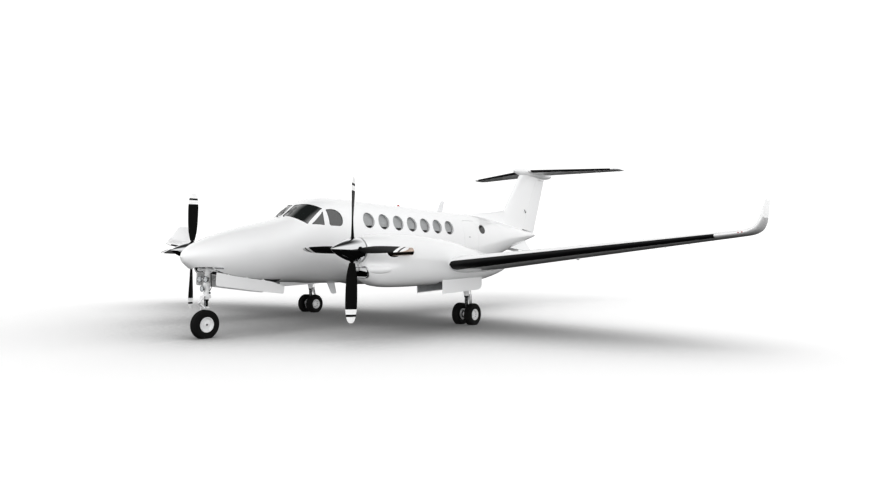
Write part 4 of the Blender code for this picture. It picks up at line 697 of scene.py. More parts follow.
def boot(shape, place_at, start, end, over, under, round_start, round_end, pitch=0.08):
    """A boot round a leading edge, its corners rounded over the given lengths."""
    rows = []
    spots = stations(start, end, pitch)
    if round_start:
        spots = [start + round_start * k / 8 for k in range(8)] + stations(start + round_start, end, pitch)
    if round_end:
        spots = [s for s in spots if s < end - round_end]
        spots += [end - round_end * (8 - k) / 8 for k in range(9)]
    for spot in spots:
        swell = 1.0
        if round_start and spot < start + round_start:
            swell = math.sqrt(max(0.0004, 1 - ((start + round_start - spot) / round_start) ** 2))
        if round_end and spot > end - round_end:
            swell = math.sqrt(max(0.0004, 1 - ((spot - end + round_end) / round_end) ** 2))
        place = place_at(spot)
        line = []
        for k in range(-BOOT_STEPS, BOOT_STEPS + 1):
            share = swell * (over if k > 0 else under) * (abs(k) / BOOT_STEPS) ** 2
            line.append(foil_skin(place, share)[0 if k > 0 else 1])
        outer, inner = [], []
        for k, point in enumerate(line):
            along = line[min(k + 1, len(line) - 1)] - line[max(k - 1, 0)]
            out = along.cross(Vector((1, 0, 0)) if abs(place[2].z) > 0.5 else Vector((0, 0, 1)))
            out = out.normalized()
            if out.dot(point - place[0].lerp(place[1], 0.3)) < 0:
                out = -out
            outer.append(point + out * BOOT_THICK)
            inner.append(point - out * 0.001)
        rows.append(outer + inner[::-1])
    loft(shape, rows)


for side, hand in ((PORT, "left"), (STARBOARD, "right")):
    boots = bmesh.new()
    boot(boots, lambda x: wing_place(WING_OUTER, x, side), 3.09, 8.17, 0.018, 0.075, 0.10, 0.0)
    made = piece(f"wing_boots_{hand}", boots, neoprene)
    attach(made, "airframe")

# Nacelles: riveted alloy cowls round each engine and the main wheels' bays, with
# a chin intake whose lip is polished steel, warmed by exhaust gas against ice.
# Twin exhaust stacks come out at the sides, and the gear's doors stay open.
NACELLE = (  # station, top, bottom, half width, height of the waist, squareness over and under it
    (1.985, 1.905, 1.400, 0.240, 1.665, 2.00, 2.00),
    (2.045, 1.918, 1.150, 0.275, 1.645, 2.00, 2.90),
    (2.16, 1.940, 1.060, 0.325, 1.610, 2.00, 2.80),
    (2.35, 1.965, 0.990, 0.380, 1.570, 2.00, 2.60),
    (2.68, 1.983, 0.952, 0.425, 1.520, 2.05, 2.50),
    (3.35, 1.972, 0.936, 0.450, 1.460, 2.10, 2.50),
    (4.00, 1.930, 0.936, 0.455, 1.410, 2.10, 2.50),
    (4.60, 1.870, 0.942, 0.445, 1.360, 2.10, 2.50),
    (5.24, 1.755, 0.955, 0.415, 1.310, 2.05, 2.40),
    (5.70, 1.660, 0.978, 0.370, 1.270, 2.00, 2.30),
    (6.13, 1.550, 1.030, 0.305, 1.250, 2.00, 2.10),
    (6.50, 1.445, 1.100, 0.225, 1.240, 2.00, 2.00),
    (6.80, 1.345, 1.170, 0.120, 1.240, 2.00, 2.00),
    (6.94, 1.270, 1.215, 0.040, 1.240, 2.00, 2.00),
)
NACELLE_X = 2.615
NACELLE_SIDES = 96
PINCH_DEPTH, PINCH_END, PINCH_Z, PINCH_WIDTH = 0.30, 2.85, 1.425, 0.085
MAIN_WELL = ((-0.30, 4.02, 0.80), (0.30, 5.56, 1.300))
SIT = math.radians(1.84)
PROP_HUB = (2.615, 1.82, 1.671)
MOUTH_HALF, MOUTH_LOW, MOUTH_HIGH, MOUTH_BEND = 0.192, 1.170, 1.350, 0.080
LIP_RADIUS = 0.016
STACK_ROUTE = ((0.20, 2.46, 1.612), (0.30, 2.47, 1.617), (0.375, 2.51, 1.622), (0.425, 2.58, 1.627),
               (0.458, 2.68, 1.631), (0.480, 2.80, 1.635), (0.492, 2.905, 1.639))
STACK_RADIUS, STACK_WALL = 0.070, 0.005
GEAR_DOOR = ((4.07, 0.755), (5.40, 0.790), (5.50, 0.86), (5.50, 1.06), (4.07, 1.06))
GEAR_DOOR_LINING = ((4.09, 0.772), (5.385, 0.806), (5.48, 0.87), (5.48, 1.06), (4.09, 1.06))
GEAR_DOOR_PLACES = (-0.345, 0.335)  # inboard and outboard of the nacelle's middle

# Duct paint: flat black that soaks up light, dusted by what the engine draws in. Its black is also
# painted shade, deep in the intake, in the stack openings and in the bore behind the spinner
duct_black_and_shade = material("heat_resistant_black_paint_and_painted_shade", "070707", Roughness=0.85, Specular_IOR_Level=0.1)
clouds(duct_black_and_shade, 12.0, "050505", "0C0B0B")
# Door linings: grey corrosion primer, flat, streaked by road dirt and grease. Its grey is also
# painted shade for the doors' inner faces under the nacelle
door_primer_and_shade = material("grey_epoxy_primer_and_painted_shade", "8A8C8E", Roughness=0.65)
clouds(door_primer_and_shade, 6.0, "7C7E80", "989A9C")
# Polished steel: the intake lip and spinner, near mirrors with hairline swirls
polished_steel = material("polished_stainless_steel", "D8D9DA", Metallic=1.0, Roughness=0.06)
smears(polished_steel, 1 / 0.004, 0.04, 0.10)
# Exhaust stacks: inconel that heat has stained straw, bronze and brown
stained_steel = material("heat_stained_inconel", "B9A79B", Metallic=1.0, Roughness=0.16)
clouds(stained_steel, 7.0, "9C8474", "D0C2B8", detail=4.0)


def cowl_ring(station, inset, side):
    """A ring of the nacelle, pinched between the engine's cowl and the intake."""
    ring = oval(NACELLE, station, NACELLE_SIDES, inset, side * NACELLE_X)
    left = max(0.0, 1 - (station - NACELLE[0][0]) / (PINCH_END - NACELLE[0][0]))
    for point in ring:
        pinch = PINCH_DEPTH * left ** 1.4 * math.exp(-((point.z - PINCH_Z) / PINCH_WIDTH) ** 2)
        point.x -= (point.x - side * NACELLE_X) * pinch
    return ring


def cowl_side(station, z, side, out):
    """The nacelle's skin at a station and a height, on one side of it."""
    ring = sorted((p for p in cowl_ring(station, 0.0, side) if (p.x - side * NACELLE_X) * out > 0),
                  key=lambda p: p.z)
    above = next(k for k, p in enumerate(ring) if p.z > z)
    low, high = ring[max(above - 1, 0)], ring[above]
    return low.lerp(high, max(0.0, z - low.z) / (high.z - low.z)) if above else high.copy()


def tube(shape, route, radius, sides=32, paint=0, loop=False, shares=None):
    """A round tube along a route of points, its radius scaled by the shares."""
    rows = []
    side_way = None
    for k, spot in enumerate(route):
        before = route[k - 1] if k or loop else spot
        after = route[(k + 1) % len(route)] if k + 1 < len(route) or loop else spot
        along = (after - before).normalized()
        if side_way is None:
            side_way = along.cross(UP if abs(along.z) < 0.9 else Vector((0, 1, 0))).normalized()
        side_way = (side_way - along * side_way.dot(along)).normalized()
        other = along.cross(side_way)
        reach = radius * (shares[k] if shares else 1.0)
        rows.append([spot + side_way * (reach * math.cos(2 * math.pi * n / sides))
                     + other * (reach * math.sin(2 * math.pi * n / sides)) for n in range(sides)])
    loft(shape, rows, loop=loop, paint=paint)


def smooth_route(points, steps=6):
    """A curve through points."""
    points = [Vector(p) for p in points]
    made = []
    for k in range(len(points) - 1):
        near, far = points[max(k - 1, 0)], points[min(k + 2, len(points) - 1)]
        a, b = points[k], points[k + 1]
        for n in range(steps):
            t = n / steps
            made.append(0.5 * (2 * a + (b - near) * t + (2 * near - 5 * a + 4 * b - far) * t * t
                               + (3 * a - near - 3 * b + far) * t ** 3))
    return made + [points[-1]]


def thrust_place(side, behind=0.0):
    """A frame on the thrust line, its Z axis pointing aft."""
    aft = Vector((0, math.cos(SIT), -math.sin(SIT)))
    across = Vector((1, 0, 0))
    turn = Matrix((across, aft.cross(across), aft)).transposed().to_4x4()
    return Matrix.Translation(at(side * PROP_HUB[0], *PROP_HUB[1:]) + aft * behind) @ turn


def lathe(shape, profile, place, sides=64, paint=0, loop=False):
    """Turn a profile of (radius, way) round the Z axis of a place."""
    rows = [[place @ Vector((radius * math.cos(2 * math.pi * k / sides),
                             radius * math.sin(2 * math.pi * k / sides), way)) for k in range(sides)]
            for radius, way in profile]
    loft(shape, rows, loop=loop, paint=paint)


for side, hand in ((PORT, "left"), (STARBOARD, "right")):
    x = side * NACELLE_X
    cowl_shape = bmesh.new()
    front = [[p + Vector((0, back, 0)) for p in cowl_ring(NACELLE[0][0], inset, side)] for back, inset in
             ((0.030, 0.030), (0.006, 0.020), (0.0, 0.012), (0.003, 0.004), (0.010, 0.0))]
    loft(cowl_shape, front + [cowl_ring(s, 0.0, side) for s in
                              (2.005, 2.018, 2.031, 2.045, 2.065, 2.09, 2.12, 2.16, 2.20)]
         + [cowl_ring(s, 0.0, side) for s in stations(2.25, 6.94, 0.05)])
    cowl = piece(f"nacelle_skin_{hand}", cowl_shape, gloss_white, duct_black_and_shade)
    holes = bmesh.new()
    lathe(holes, ((0.10, 0.05), (0.10, 0.38)), thrust_place(side), paint=1)
    loft(holes, [[at(x + p.x * share, station, 1.26 + (p.y - 1.26) * share) for p in
                  round_off(((MOUTH_HALF, MOUTH_LOW), (MOUTH_HALF, MOUTH_HIGH), (-MOUTH_HALF, MOUTH_HIGH),
                             (-MOUTH_HALF, MOUTH_LOW)), (MOUTH_BEND,) * 4, 8)]
                 for station, share in ((1.95, 1.0), (2.20, 0.97), (2.55, 0.70))], paint=1)
    for out in (PORT, STARBOARD):
        sheet_out(holes, ellipse((2.515, 1.612), 0.160, 0.080), "X",
                  x + out * 0.28, x + out * 0.56, paint=1)
    carve(cowl, holes)
    well = bmesh.new()
    block(well, at(x + MAIN_WELL[0][0], *MAIN_WELL[0][1:]), at(x + MAIN_WELL[1][0], *MAIN_WELL[1][1:]))
    carve(cowl, well)
    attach(cowl, "airframe")
    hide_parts(f"nacelle_{hand}")

    fittings = bmesh.new()
    lip = [at(x + p.x, 2.036 - (p.y - MOUTH_LOW) * 0.15, p.y) for p in
           round_off(((MOUTH_HALF + 0.008, MOUTH_LOW - 0.008), (MOUTH_HALF + 0.008, MOUTH_HIGH + 0.008),
                      (-MOUTH_HALF - 0.008, MOUTH_HIGH + 0.008), (-MOUTH_HALF - 0.008, MOUTH_LOW - 0.008)),
                     (0.086,) * 4, 10)]
    tube(fittings, lip, LIP_RADIUS, sides=24, loop=True)
    lips = piece(f"intake_lip_{hand}", fittings, polished_steel, sharp=60.0)
    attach(lips, "airframe")

    bulges = bmesh.new()
    for out in (PORT, STARBOARD):
        rows = []
        for n in range(12):
            share = n / 12
            ring = []
            for k in range(48):
                angle = 2 * math.pi * k / 48
                station = 2.212 + 0.258 * math.cos(angle) * (1 - share)
                z = 1.312 + 0.082 * math.sin(angle) * (1 - share) - (station - 2.212) * 0.05
                swell = 0.034 * math.sqrt(max(0.0, 1 - (1 - share) ** 2))
                ring.append(cowl_side(station, z, side, out) + Vector((out * (swell - 0.002), 0, 0)))
            rows.append(ring)
        loft(bulges, rows)
    bulge = piece(f"cowl_blisters_{hand}", bulges, gloss_white, sharp=70.0)
    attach(bulge, "airframe")

    doors = bmesh.new()
    for offset in GEAR_DOOR_PLACES:
        centre = x + side * offset
        inward = -side if offset > 0 else side
        outer = round_off(GEAR_DOOR, (0.015, 0.09, 0.06, 0.01, 0.01))
        inner = round_off(GEAR_DOOR_LINING, (0.015, 0.08, 0.05, 0.01, 0.01))
        sheet_out(doors, outer, "X", centre - inward * 0.007, centre + inward * 0.002)
        sheet_out(doors, inner, "X", centre + inward * 0.002, centre + inward * 0.007, paint=1)
    gear_doors = piece(f"main_gear_doors_{hand}", doors, gloss_white, door_primer_and_shade)
    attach(gear_doors, "airframe")

    stacks = bmesh.new()
    for out in (PORT, STARBOARD):
        route = smooth_route([at(x + out * p[0], *p[1:]) for p in STACK_ROUTE])
        flare = [1.0 + 0.07 * (k / (len(route) - 1)) ** 2 for k in range(len(route))]
        tube(stacks, route + route[::-1], STACK_RADIUS, sides=40, loop=True,
             shares=flare + [f - STACK_WALL / STACK_RADIUS for f in flare[::-1]])
    lathe(stacks, ((0.235, 0.36), (0.235, 2.15)), thrust_place(side))
    engine = piece(f"engine_block_{hand}", stacks, stained_steel)
    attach(engine, "airframe")
    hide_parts(f"engine_{hand}")

# Propellers: four hollow aluminium blades, feathered, painted black with white
# tips so that their disc shows. Steel clamps hold their roots in the hub,
# and a polished shell covers it.
BLADE = (  # radius, chord, thickness as a share of it, angle from the thrust line
    (0.240, 0.105, 0.55, 50.0),
    (0.330, 0.145, 0.32, 46.0),
    (0.480, 0.192, 0.18, 42.5),
    (0.720, 0.216, 0.12, 37.5),
    (0.980, 0.223, 0.090, 31.5),
    (1.160, 0.200, 0.078, 28.0),
    (1.270, 0.150, 0.072, 27.0),
    (1.316, 0.098, 0.070, 26.5),
    (1.3335, 0.045, 0.070, 26.0),
)
BANDS = ((0.0, 1.0825, 0), (1.0825, 1.1755, 1), (1.1755, 1.2185, 0), (1.2185, 1.34, 1))
SPINNER_TIP, SPINNER_BASE, SPINNER_RADIUS = 0.535, 0.135, 0.225
SHANK_RADIUS = 0.052
# Blade paint: satin black polyurethane, with fine erosion speckle near the edges
blade_black = material("blade_black_paint", "080808", Roughness=0.5, Specular_IOR_Level=0.06)
clouds(blade_black, 1 / 0.012, "050505", "0D0D0D")
blade_white = material("blade_tip_white_paint", "FAFAFA", Roughness=0.35)
clouds(blade_white, 30.0, "F4F4F4", "FCFCFC")


def blade_row(place, side, turn, radius):
    """One section of a blade at a radius, feathered and turned about the thrust line."""
    chord, thickness, angle = [curve_at(BLADE, c, radius) for c in (1, 2, 3)]
    angle = math.radians(angle)
    # The place's Y axis points down, so the leading edge of the top blade is outboard
    along = Vector((side * math.sin(angle), 0, math.cos(angle)))
    normal = Vector((math.cos(angle), 0, -side * math.sin(angle)))
    centre = Vector((0, radius, 0))
    section = (centre - along * chord * 0.5, centre + along * chord * 0.5, normal, thickness, 0.02)
    shares = [(1 - math.cos(math.pi * k / 14)) / 2 for k in range(15)]
    skins = [foil_skin(section, share) for share in shares]
    ring = [high for high, low in skins[::-1]] + [low for high, low in skins[1:-1]]
    around = place @ Matrix.Rotation(turn, 4, "Z")
    return [around @ point for point in ring]


for side, hand in ((PORT, "left"), (STARBOARD, "right")):
    place = thrust_place(side)
    blades = bmesh.new()
    radii = stations(0.235, 1.0825, 0.03) + [1.11, 1.14, 1.1755, 1.197, 1.2185, 1.24, 1.262, 1.28,
                                             1.295, 1.307, 1.316, 1.323, 1.328, 1.3315, 1.3335]
    paints = [next(p for low, high, p in BANDS if low <= (a + b) / 2 < high)
              for a, b in zip(radii, radii[1:])] + [1]
    lathe(blades, ((0.060, -0.11), (0.105, -0.10), (0.12, -0.06), (0.12, 0.08), (0.10, 0.10), (0.035, 0.11),
                   (0.035, 0.48)), place, sides=48)
    for k in range(4):
        turn = k * math.pi / 2
        loft(blades, [blade_row(place, side, turn, r) for r in radii], paint=paints)
        spin = place @ Matrix.Rotation(turn, 4, "Z") @ Matrix.Rotation(-math.pi / 2, 4, "X")
        lathe(blades, ((0.048, 0.09), (SHANK_RADIUS, 0.10), (SHANK_RADIUS, 0.205), (0.036, 0.222),
                       (0.026, 0.235), (0.022, 0.30)), spin, sides=32)
    made = piece(f"propeller_blades_{hand}", blades, blade_black, blade_white, sharp=45.0)
    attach(made, f"{hand}_propeller")
    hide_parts(f"propeller_{hand}")

    cover = bmesh.new()
    profile = [(0.0015, -SPINNER_TIP)]
    for n in range(1, 33):
        share = (n / 32) ** 1.6
        profile.append((SPINNER_RADIUS * math.sin(share * math.pi / 2) ** 0.86,
                        -SPINNER_TIP + (SPINNER_TIP + SPINNER_BASE) * share))
    profile += [(SPINNER_RADIUS - 0.004, SPINNER_BASE), (SPINNER_RADIUS - 0.004, SPINNER_BASE - 0.012),
                (0.125, SPINNER_BASE - 0.012), (0.125, -0.115), (0.01, -0.115)]
    lathe(cover, profile, place, sides=96)
    spinner = piece(f"spinner_shell_{hand}", cover, polished_steel)
    holes = bmesh.new()
    for k in range(4):
        spin = place @ Matrix.Rotation(k * math.pi / 2, 4, "Z") @ Matrix.Rotation(-math.pi / 2, 4, "X")
        lathe(holes, ((0.058, 0.10), (0.058, 0.28)), spin, sides=48)
    carve(spinner, holes)
    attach(spinner, f"{hand}_propeller")
    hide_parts(f"spinner_{hand}")

# The tail: a swept fin with a long dorsal fillet, a rudder on a raked hinge, and
# a tailplane set on top through a bullet fairing, with an elevator each side.
FIN_LOW, FIN_TOP = (2.20, 10.507, 12.022, 12.93), (4.20, 12.130, 13.160, 13.770)
FIN_THICKNESS = 0.105
RUDDER_FOOT = (10.779, 2.535, 12.113, 12.953, 2.255)  # leading edge, hinge, trailing edge
RUDDER_TOP = 4.035
DORSAL = ((8.60, 2.690, 0.010), (9.30, 2.752, 0.030), (10.0, 2.805, 0.040), (10.7, 2.872, 0.046),
          (11.25, 2.945, 0.050))
RIDGE = ((1.25, 0.22), (1.02, 0.12), (0.80, 0.05), (0.52, 0.018), (0.22, 0.004))  # share out, drop
TAIL_EDGES = ((0.00, 12.380, 4.300, 13.590, 4.235, 0.095), (2.69, 13.455, 4.262, 14.040, 4.234, 0.095))
ELEVATOR = (0.19, 2.66, 0.60)
BULLET = ((11.70, 0.006), (11.706, 0.016), (11.72, 0.027), (11.76, 0.045), (11.95, 0.082), (12.40, 0.115),
          (13.00, 0.125), (13.50, 0.121), (13.90, 0.098), (14.12, 0.062), (14.20, 0.030), (14.22, 0.006))
BULLET_Z, BULLET_SAG = 4.255, 1.25
ACROSS = Vector((1, 0, 0))


def fin_place(z):
    """The fin's section at a height, and its hinge as a share of the chord."""
    share = (z - FIN_LOW[0]) / (FIN_TOP[0] - FIN_LOW[0])
    lead, hinge, trail = [a + (b - a) * share for a, b in zip(FIN_LOW[1:], FIN_TOP[1:])]
    return (at(0, lead, z), at(0, trail, z), ACROSS, FIN_THICKNESS, 0.0), (hinge - lead) / (trail - lead)


fin_shape = bmesh.new()
fin_rows = [foil_row(*fin_place(z), z < RUDDER_TOP) for z in
            stations(2.20, RUDDER_TOP + 0.012, 0.15)]
fin_rows.append(foil_row(*fin_place(RUDDER_TOP + 0.012), False))
fin_rows.append(foil_row(*fin_place(FIN_TOP[0]), False))
loft(fin_shape, fin_rows)
ridge = []
for station in stations(DORSAL[0][0], DORSAL[-1][0], 0.10):
    top, half = curve_at(DORSAL, 1, station), curve_at(DORSAL, 2, station)
    flank = [(1.6, 2.30)] + [(x, top - drop) for x, drop in RIDGE]
    ridge.append([at(x * half, station, z) for x, z in
                  flank + [(0, top)] + [(-x, z) for x, z in reversed(flank)]])
loft(fin_shape, ridge)
fin = piece("fin_skin", fin_shape, gloss_white, weld=0.00002)
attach(fin, "airframe")
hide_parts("fin")

foot = (at(0, RUDDER_FOOT[0], RUDDER_FOOT[1]), at(0, RUDDER_FOOT[3], RUDDER_FOOT[4]), ACROSS,
        FIN_THICKNESS, 0.0)
foot_hinge = (RUDDER_FOOT[2] - RUDDER_FOOT[0]) / (RUDDER_FOOT[3] - RUDDER_FOOT[0])
top_place, top_hinge = fin_place(RUDDER_TOP)
rudder = hinged("rudder_skin", (foot, top_place), (foot_hinge, top_hinge), (0.25, 0.5, 0.75))
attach(rudder, "rudder_surface")
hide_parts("rudder")


def tail_place(x, side):
    """The tailplane's section at x."""
    lead, trail, up, thickness, camber = wing_place(TAIL_EDGES, x, side)
    return lead, trail, up, thickness, 0.0


tail_shape = bmesh.new()
port_rows, starboard_rows = [
    bay_rows(*ELEVATOR[:2], lambda x: tail_place(x, side), ELEVATOR[2])
    + [foil_row(tail_place(2.69, side), ELEVATOR[2])]
    + [foil_row((at(side * x, s, z), at(side * x, 14.050, 4.236), UP, t, 0.0), ELEVATOR[2])
       for x, s, z, t in ((2.745, 13.487, 4.260, 0.090), (2.785, 13.530, 4.259, 0.078),
                          (2.805, 13.600, 4.257, 0.040))]
    for side in (PORT, STARBOARD)]
loft(tail_shape, starboard_rows[::-1] + [foil_row(tail_place(0.0, PORT), ELEVATOR[2])] + port_rows)
loft(tail_shape, [[at(r * math.cos(2 * math.pi * k / 64), s, BULLET_Z + r * math.sin(2 * math.pi * k / 64)
                      * (1 if k < 32 else BULLET_SAG)) for k in range(64)]
                  for s, r in [(s, curve_at(BULLET, 1, s)) for s in
                               [row[0] for row in BULLET[:4]] + stations(11.80, 14.09, 0.06)
                               + [14.12, 14.15, 14.175, 14.19, 14.20, 14.209, 14.216, 14.22]]])
tailplane = piece("tailplane_skin", tail_shape, gloss_white, weld=0.00002)
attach(tailplane, "airframe")
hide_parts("tailplane")

for side, hand in ((PORT, "left"), (STARBOARD, "right")):
    made = hinged(f"elevator_skin_{hand}", [tail_place(x, side) for x in ELEVATOR[:2]],
                  (ELEVATOR[2], ELEVATOR[2]), (0.45, 0.72, 0.97))
    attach(made, f"{hand}_elevator")
    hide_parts(f"elevator_{hand}")

boots = bmesh.new()
for side in (PORT, STARBOARD):
    boot(boots, lambda x: tail_place(x, side), 0.20, 2.56, 0.11, 0.11, 0.03, 0.03)
tail_boots = piece("tailplane_boots", boots, neoprene)
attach(tail_boots, "airframe")

# Glazing: polished acrylic panes, tinted, bedded in black rubber. The windshields
# are darker laminates, their darkness partly painted shade, each with a wiper. Cabin
# panes sit in bright rings, with moulded shades drawn most of the way down inside.
PANE_SET, PANE_THICK, PANE_GAP = 0.006, 0.010, 0.0015
SEAL_RADIUS = 0.0042
SHADE_SET, SHADE_THICK, SHADE_SHARE = 0.072, 0.003, 0.62

# Laminated windshield: gold-filmed glass, half a mirror outside, and near-opaque black as painted
# shade for the dim cockpit behind it
windshield_glass_and_shade = material("laminated_windshield_painted_shade", "0A1110", Roughness=0.03, IOR=3.0, Alpha=0.90)
smears(windshield_glass_and_shade, 3.0, 0.02, 0.06)
# Side panes: tinted laminate with a green cast, polished, and near-opaque black as painted shade
# for the dim cockpit behind them
side_glass_and_shade = material("tinted_side_glass_painted_shade", "0A1110", Roughness=0.03, IOR=2.2, Alpha=0.80)
smears(side_glass_and_shade, 3.0, 0.02, 0.06)
# Tinted acrylic in the baggage bay: near-opaque black as painted shade for the dim bay behind it,
# lighter only where it reflects the dome
bay_acrylic_and_shade = material("tinted_acrylic_painted_shade", "0A0B0C", Roughness=0.03, IOR=1.45, Alpha=0.95)
smears(bay_acrylic_and_shade, 4.0, 0.02, 0.05)
# Stretched acrylic: smoke grey, clear enough to show the shade behind it
cabin_acrylic = material("smoked_stretched_acrylic", "0C0D0E", Roughness=0.03, IOR=1.49, Alpha=0.15)
smears(cabin_acrylic, 4.0, 0.02, 0.05)
# Seal rubber: dull black, softened by dust
seal_rubber = material("extruded_black_rubber", "101011", Roughness=0.7, Specular_IOR_Level=0.2)
clouds(seal_rubber, 30.0, "0C0C0D", "1A1A1B", detail=3.0)
# Shade: pale moulded polycarbonate with a fine leather-like grain
shade_poly = material("moulded_polycarbonate", "D6D8D9", Roughness=0.5)
grained(shade_poly, 0.002, 0.2, 0.0002)


def draw_in(points, gap):
    """An outline drawn in towards its middle."""
    points = [Vector(p) for p in points]
    middle = sum(points, points[0] * 0) / len(points)
    return [p + (middle - p).normalized() * gap for p in points]


form = bmesh.new()
loft(form, [oval(FUSELAGE, s, HULL_SIDES) for s in stations(1.8, 3.9, 0.03)])
hull_tree = BVHTree.FromBMesh(form)
form.free()


def on_hull(point, out=0.0):
    """Where the ray from the cockpit's middle through a point meets the skin."""
    ray = (point - CENTRE).normalized()
    return hull_tree.ray_cast(CENTRE + ray * 2.0, -ray)[0] + ray * out


def skin_loop(outline, side, out=0.0):
    """An outline in side view, laid on the skin."""
    return [at(side * (hull_half_width(s, z) + out), s, z) for s, z in outline]


windshields = hull_layer("windshield_panes", 2.20, 3.10, PANE_SET, PANE_SET + PANE_THICK,
                         windshield_glass_and_shade)
panes = hull_layer("cockpit_side_panes", 2.40, 3.55, PANE_SET, PANE_SET + PANE_THICK, side_glass_and_shade)
front_keepers, keepers, seals = bmesh.new(), bmesh.new(), bmesh.new()
for side in (PORT, STARBOARD):
    rim = draw_in(windshield_outlines[side], PANE_GAP)
    loft(front_keepers, [[CENTRE.lerp(p, share) for p in rim] for share in (0.75, 1.20)])
    tube(seals, [on_hull(p, -0.002) for p in windshield_outlines[side]], SEAL_RADIUS, sides=10, loop=True)
    for outline in (triangle_outline, side_outline):
        sheet_out(keepers, draw_in(outline, PANE_GAP), "X", side * 0.42, side * 0.90)
        tube(seals, skin_loop(outline, side, -0.002), SEAL_RADIUS, sides=10, loop=True)
for glass, limit in ((windshields, front_keepers), (panes, keepers)):
    carve(glass, limit, keep=True)
    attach(glass, "airframe")
    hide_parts("cockpit_glass")

WIPER_FOOT, WIPER_TIP = (0.107, 2.300, 2.398), (0.168, 2.520, 2.600)
for side in (PORT, STARBOARD):
    foot, tip = [on_hull(at(side * p[0], *p[1:]), 0.020) for p in (WIPER_FOOT, WIPER_TIP)]
    elbow = foot.lerp(tip, 0.12) + Vector((0, 0, 0.012))
    arm = smooth_route([foot - Vector((0, 0, 0.03)), foot, elbow, foot.lerp(tip, 0.7)], 4)
    tube(seals, arm, 0.0055, sides=10)
    low, high = [on_hull(foot.lerp(tip, share), 0.006) for share in (0.35, 1.12)]
    tube(seals, [on_hull(low.lerp(high, k / 8), 0.006) for k in range(9)], 0.0045, sides=8)
    lathe(seals, ((0.004, -0.02), (0.016, -0.02), (0.016, 0.012), (0.004, 0.016)),
          Matrix.Translation(foot - Vector((0, 0, 0.02))), sides=20)
trim = piece("windshield_seals_and_wipers", seals, seal_rubber, sharp=50.0)
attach(trim, "airframe")

for side, hand in ((PORT, "left"), (STARBOARD, "right")):
    panes = hull_layer(f"cabin_panes_{hand}", 4.0, 7.54, PANE_SET, PANE_SET + PANE_THICK, cabin_acrylic)
    shades = hull_layer(f"window_shades_{hand}", 4.0, 7.54, SHADE_SET, SHADE_SET + SHADE_THICK, shade_poly)
    keepers, covers, rings = bmesh.new(), bmesh.new(), bmesh.new()
    for station, z in window_places:
        hole = ellipse((station, z), WINDOW_HALF_WIDTH, WINDOW_HALF_HEIGHT)
        sheet_out(keepers, draw_in(hole, PANE_GAP), "X", side * 0.4, side * 0.9)
        low, high = z - WINDOW_HALF_HEIGHT * SHADE_SHARE, z + WINDOW_HALF_HEIGHT + 0.03
        fore, rear = station - WINDOW_HALF_WIDTH - 0.03, station + WINDOW_HALF_WIDTH + 0.03
        cover = round_off(((fore, low), (rear, low), (rear, high), (fore, high)), (0.02, 0.02, 0.12, 0.12))
        sheet_out(covers, cover, "X", side * 0.4, side * 0.9)
        bead = ellipse((station, z), WINDOW_HALF_WIDTH - 0.002, WINDOW_HALF_HEIGHT - 0.002)
        tube(rings, skin_loop(bead, side, -0.001), 0.0045, sides=8, loop=True)
    carve(panes, keepers, keep=True)
    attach(panes, "airframe")
    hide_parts(f"cabin_windows_{hand}")
    carve(shades, covers, keep=True)
    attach(shades, "airframe")
    aft_pane = hull_layer(f"aft_pane_{hand}", 8.65, 9.25, PANE_SET, PANE_SET + PANE_THICK, bay_acrylic_and_shade)
    keepers = bmesh.new()
    hole = ellipse(AFT_WINDOW, *AFT_WINDOW_HALF)
    sheet_out(keepers, draw_in(hole, PANE_GAP), "X", side * 0.3, side * 0.9)
    carve(aft_pane, keepers, keep=True)
    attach(aft_pane, "airframe")
    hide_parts(f"aft_window_{hand}")
    tube(rings, skin_loop(hole, side, -0.001), 0.0045, sides=8, loop=True)
    frames = piece(f"window_rings_{hand}", rings, gloss_white, sharp=60.0)
    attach(frames, "airframe")

# The airstair: one curved door, hinged along its sill, that carries four treads
# inside. Its steps lie level when it hangs open. A flush lever locks it.
DOOR_EDGE = max(hull_half_width(s, DOOR_SILL) for s in (DOOR_START, DOOR_END))
DOOR_AXIS = DOOR_EDGE + 0.004
DOOR_MIDDLE = (DOOR_START + DOOR_END) / 2
STEP_COUNT, STEP_DEPTH, STEP_THICK, STEP_HALF, STEP_LEAN = 4, 0.20, 0.025, 0.22, math.radians(45)
HANDLE = (8.20, 2.028)
# Tread rubber: black, ribbed across to grip a shoe
tread_rubber = material("ribbed_tread_rubber", "161617", Roughness=0.8, Specular_IOR_Level=0.2)
grained(tread_rubber, 0.012, 0.6, 0.001, kind="TexWave", bands_direction="X")
# Gear and door metalwork: white epoxy enamel on steel, glossy with a slight ripple
gear_enamel = material("white_epoxy_enamel", "E4E5E6", Roughness=0.28)
clouds(gear_enamel, 9.0, "D6D7D7", "EEEEEF", detail=6.0)

door = hull_layer("airstair_skin", AFT_JOINT, 9.30, 0.0, WALL, gloss_white, lining_vinyl_and_shade)
limit = bmesh.new()
sheet_out(limit, round_off(((DOOR_START, DOOR_SILL), (DOOR_END, DOOR_SILL), (DOOR_END, DOOR_TOP),
                            (DOOR_START, DOOR_TOP)), (CORNER * 1.4,) * 4), "X", 0.35, 0.95)
carve(door, limit, keep=True)
swing = math.hypot(DOOR_TOP - DOOR_SILL, DOOR_AXIS - hull_half_width(DOOR_START, DOOR_TOP))
limit = bmesh.new()
bar(limit, at(DOOR_AXIS, DOOR_START - 0.1, DOOR_SILL), at(DOOR_AXIS, DOOR_END + 0.1, DOOR_SILL), swing,
    sides=180)
carve(door, limit, keep=True)
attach(door, "airstair")
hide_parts("airstair_door")

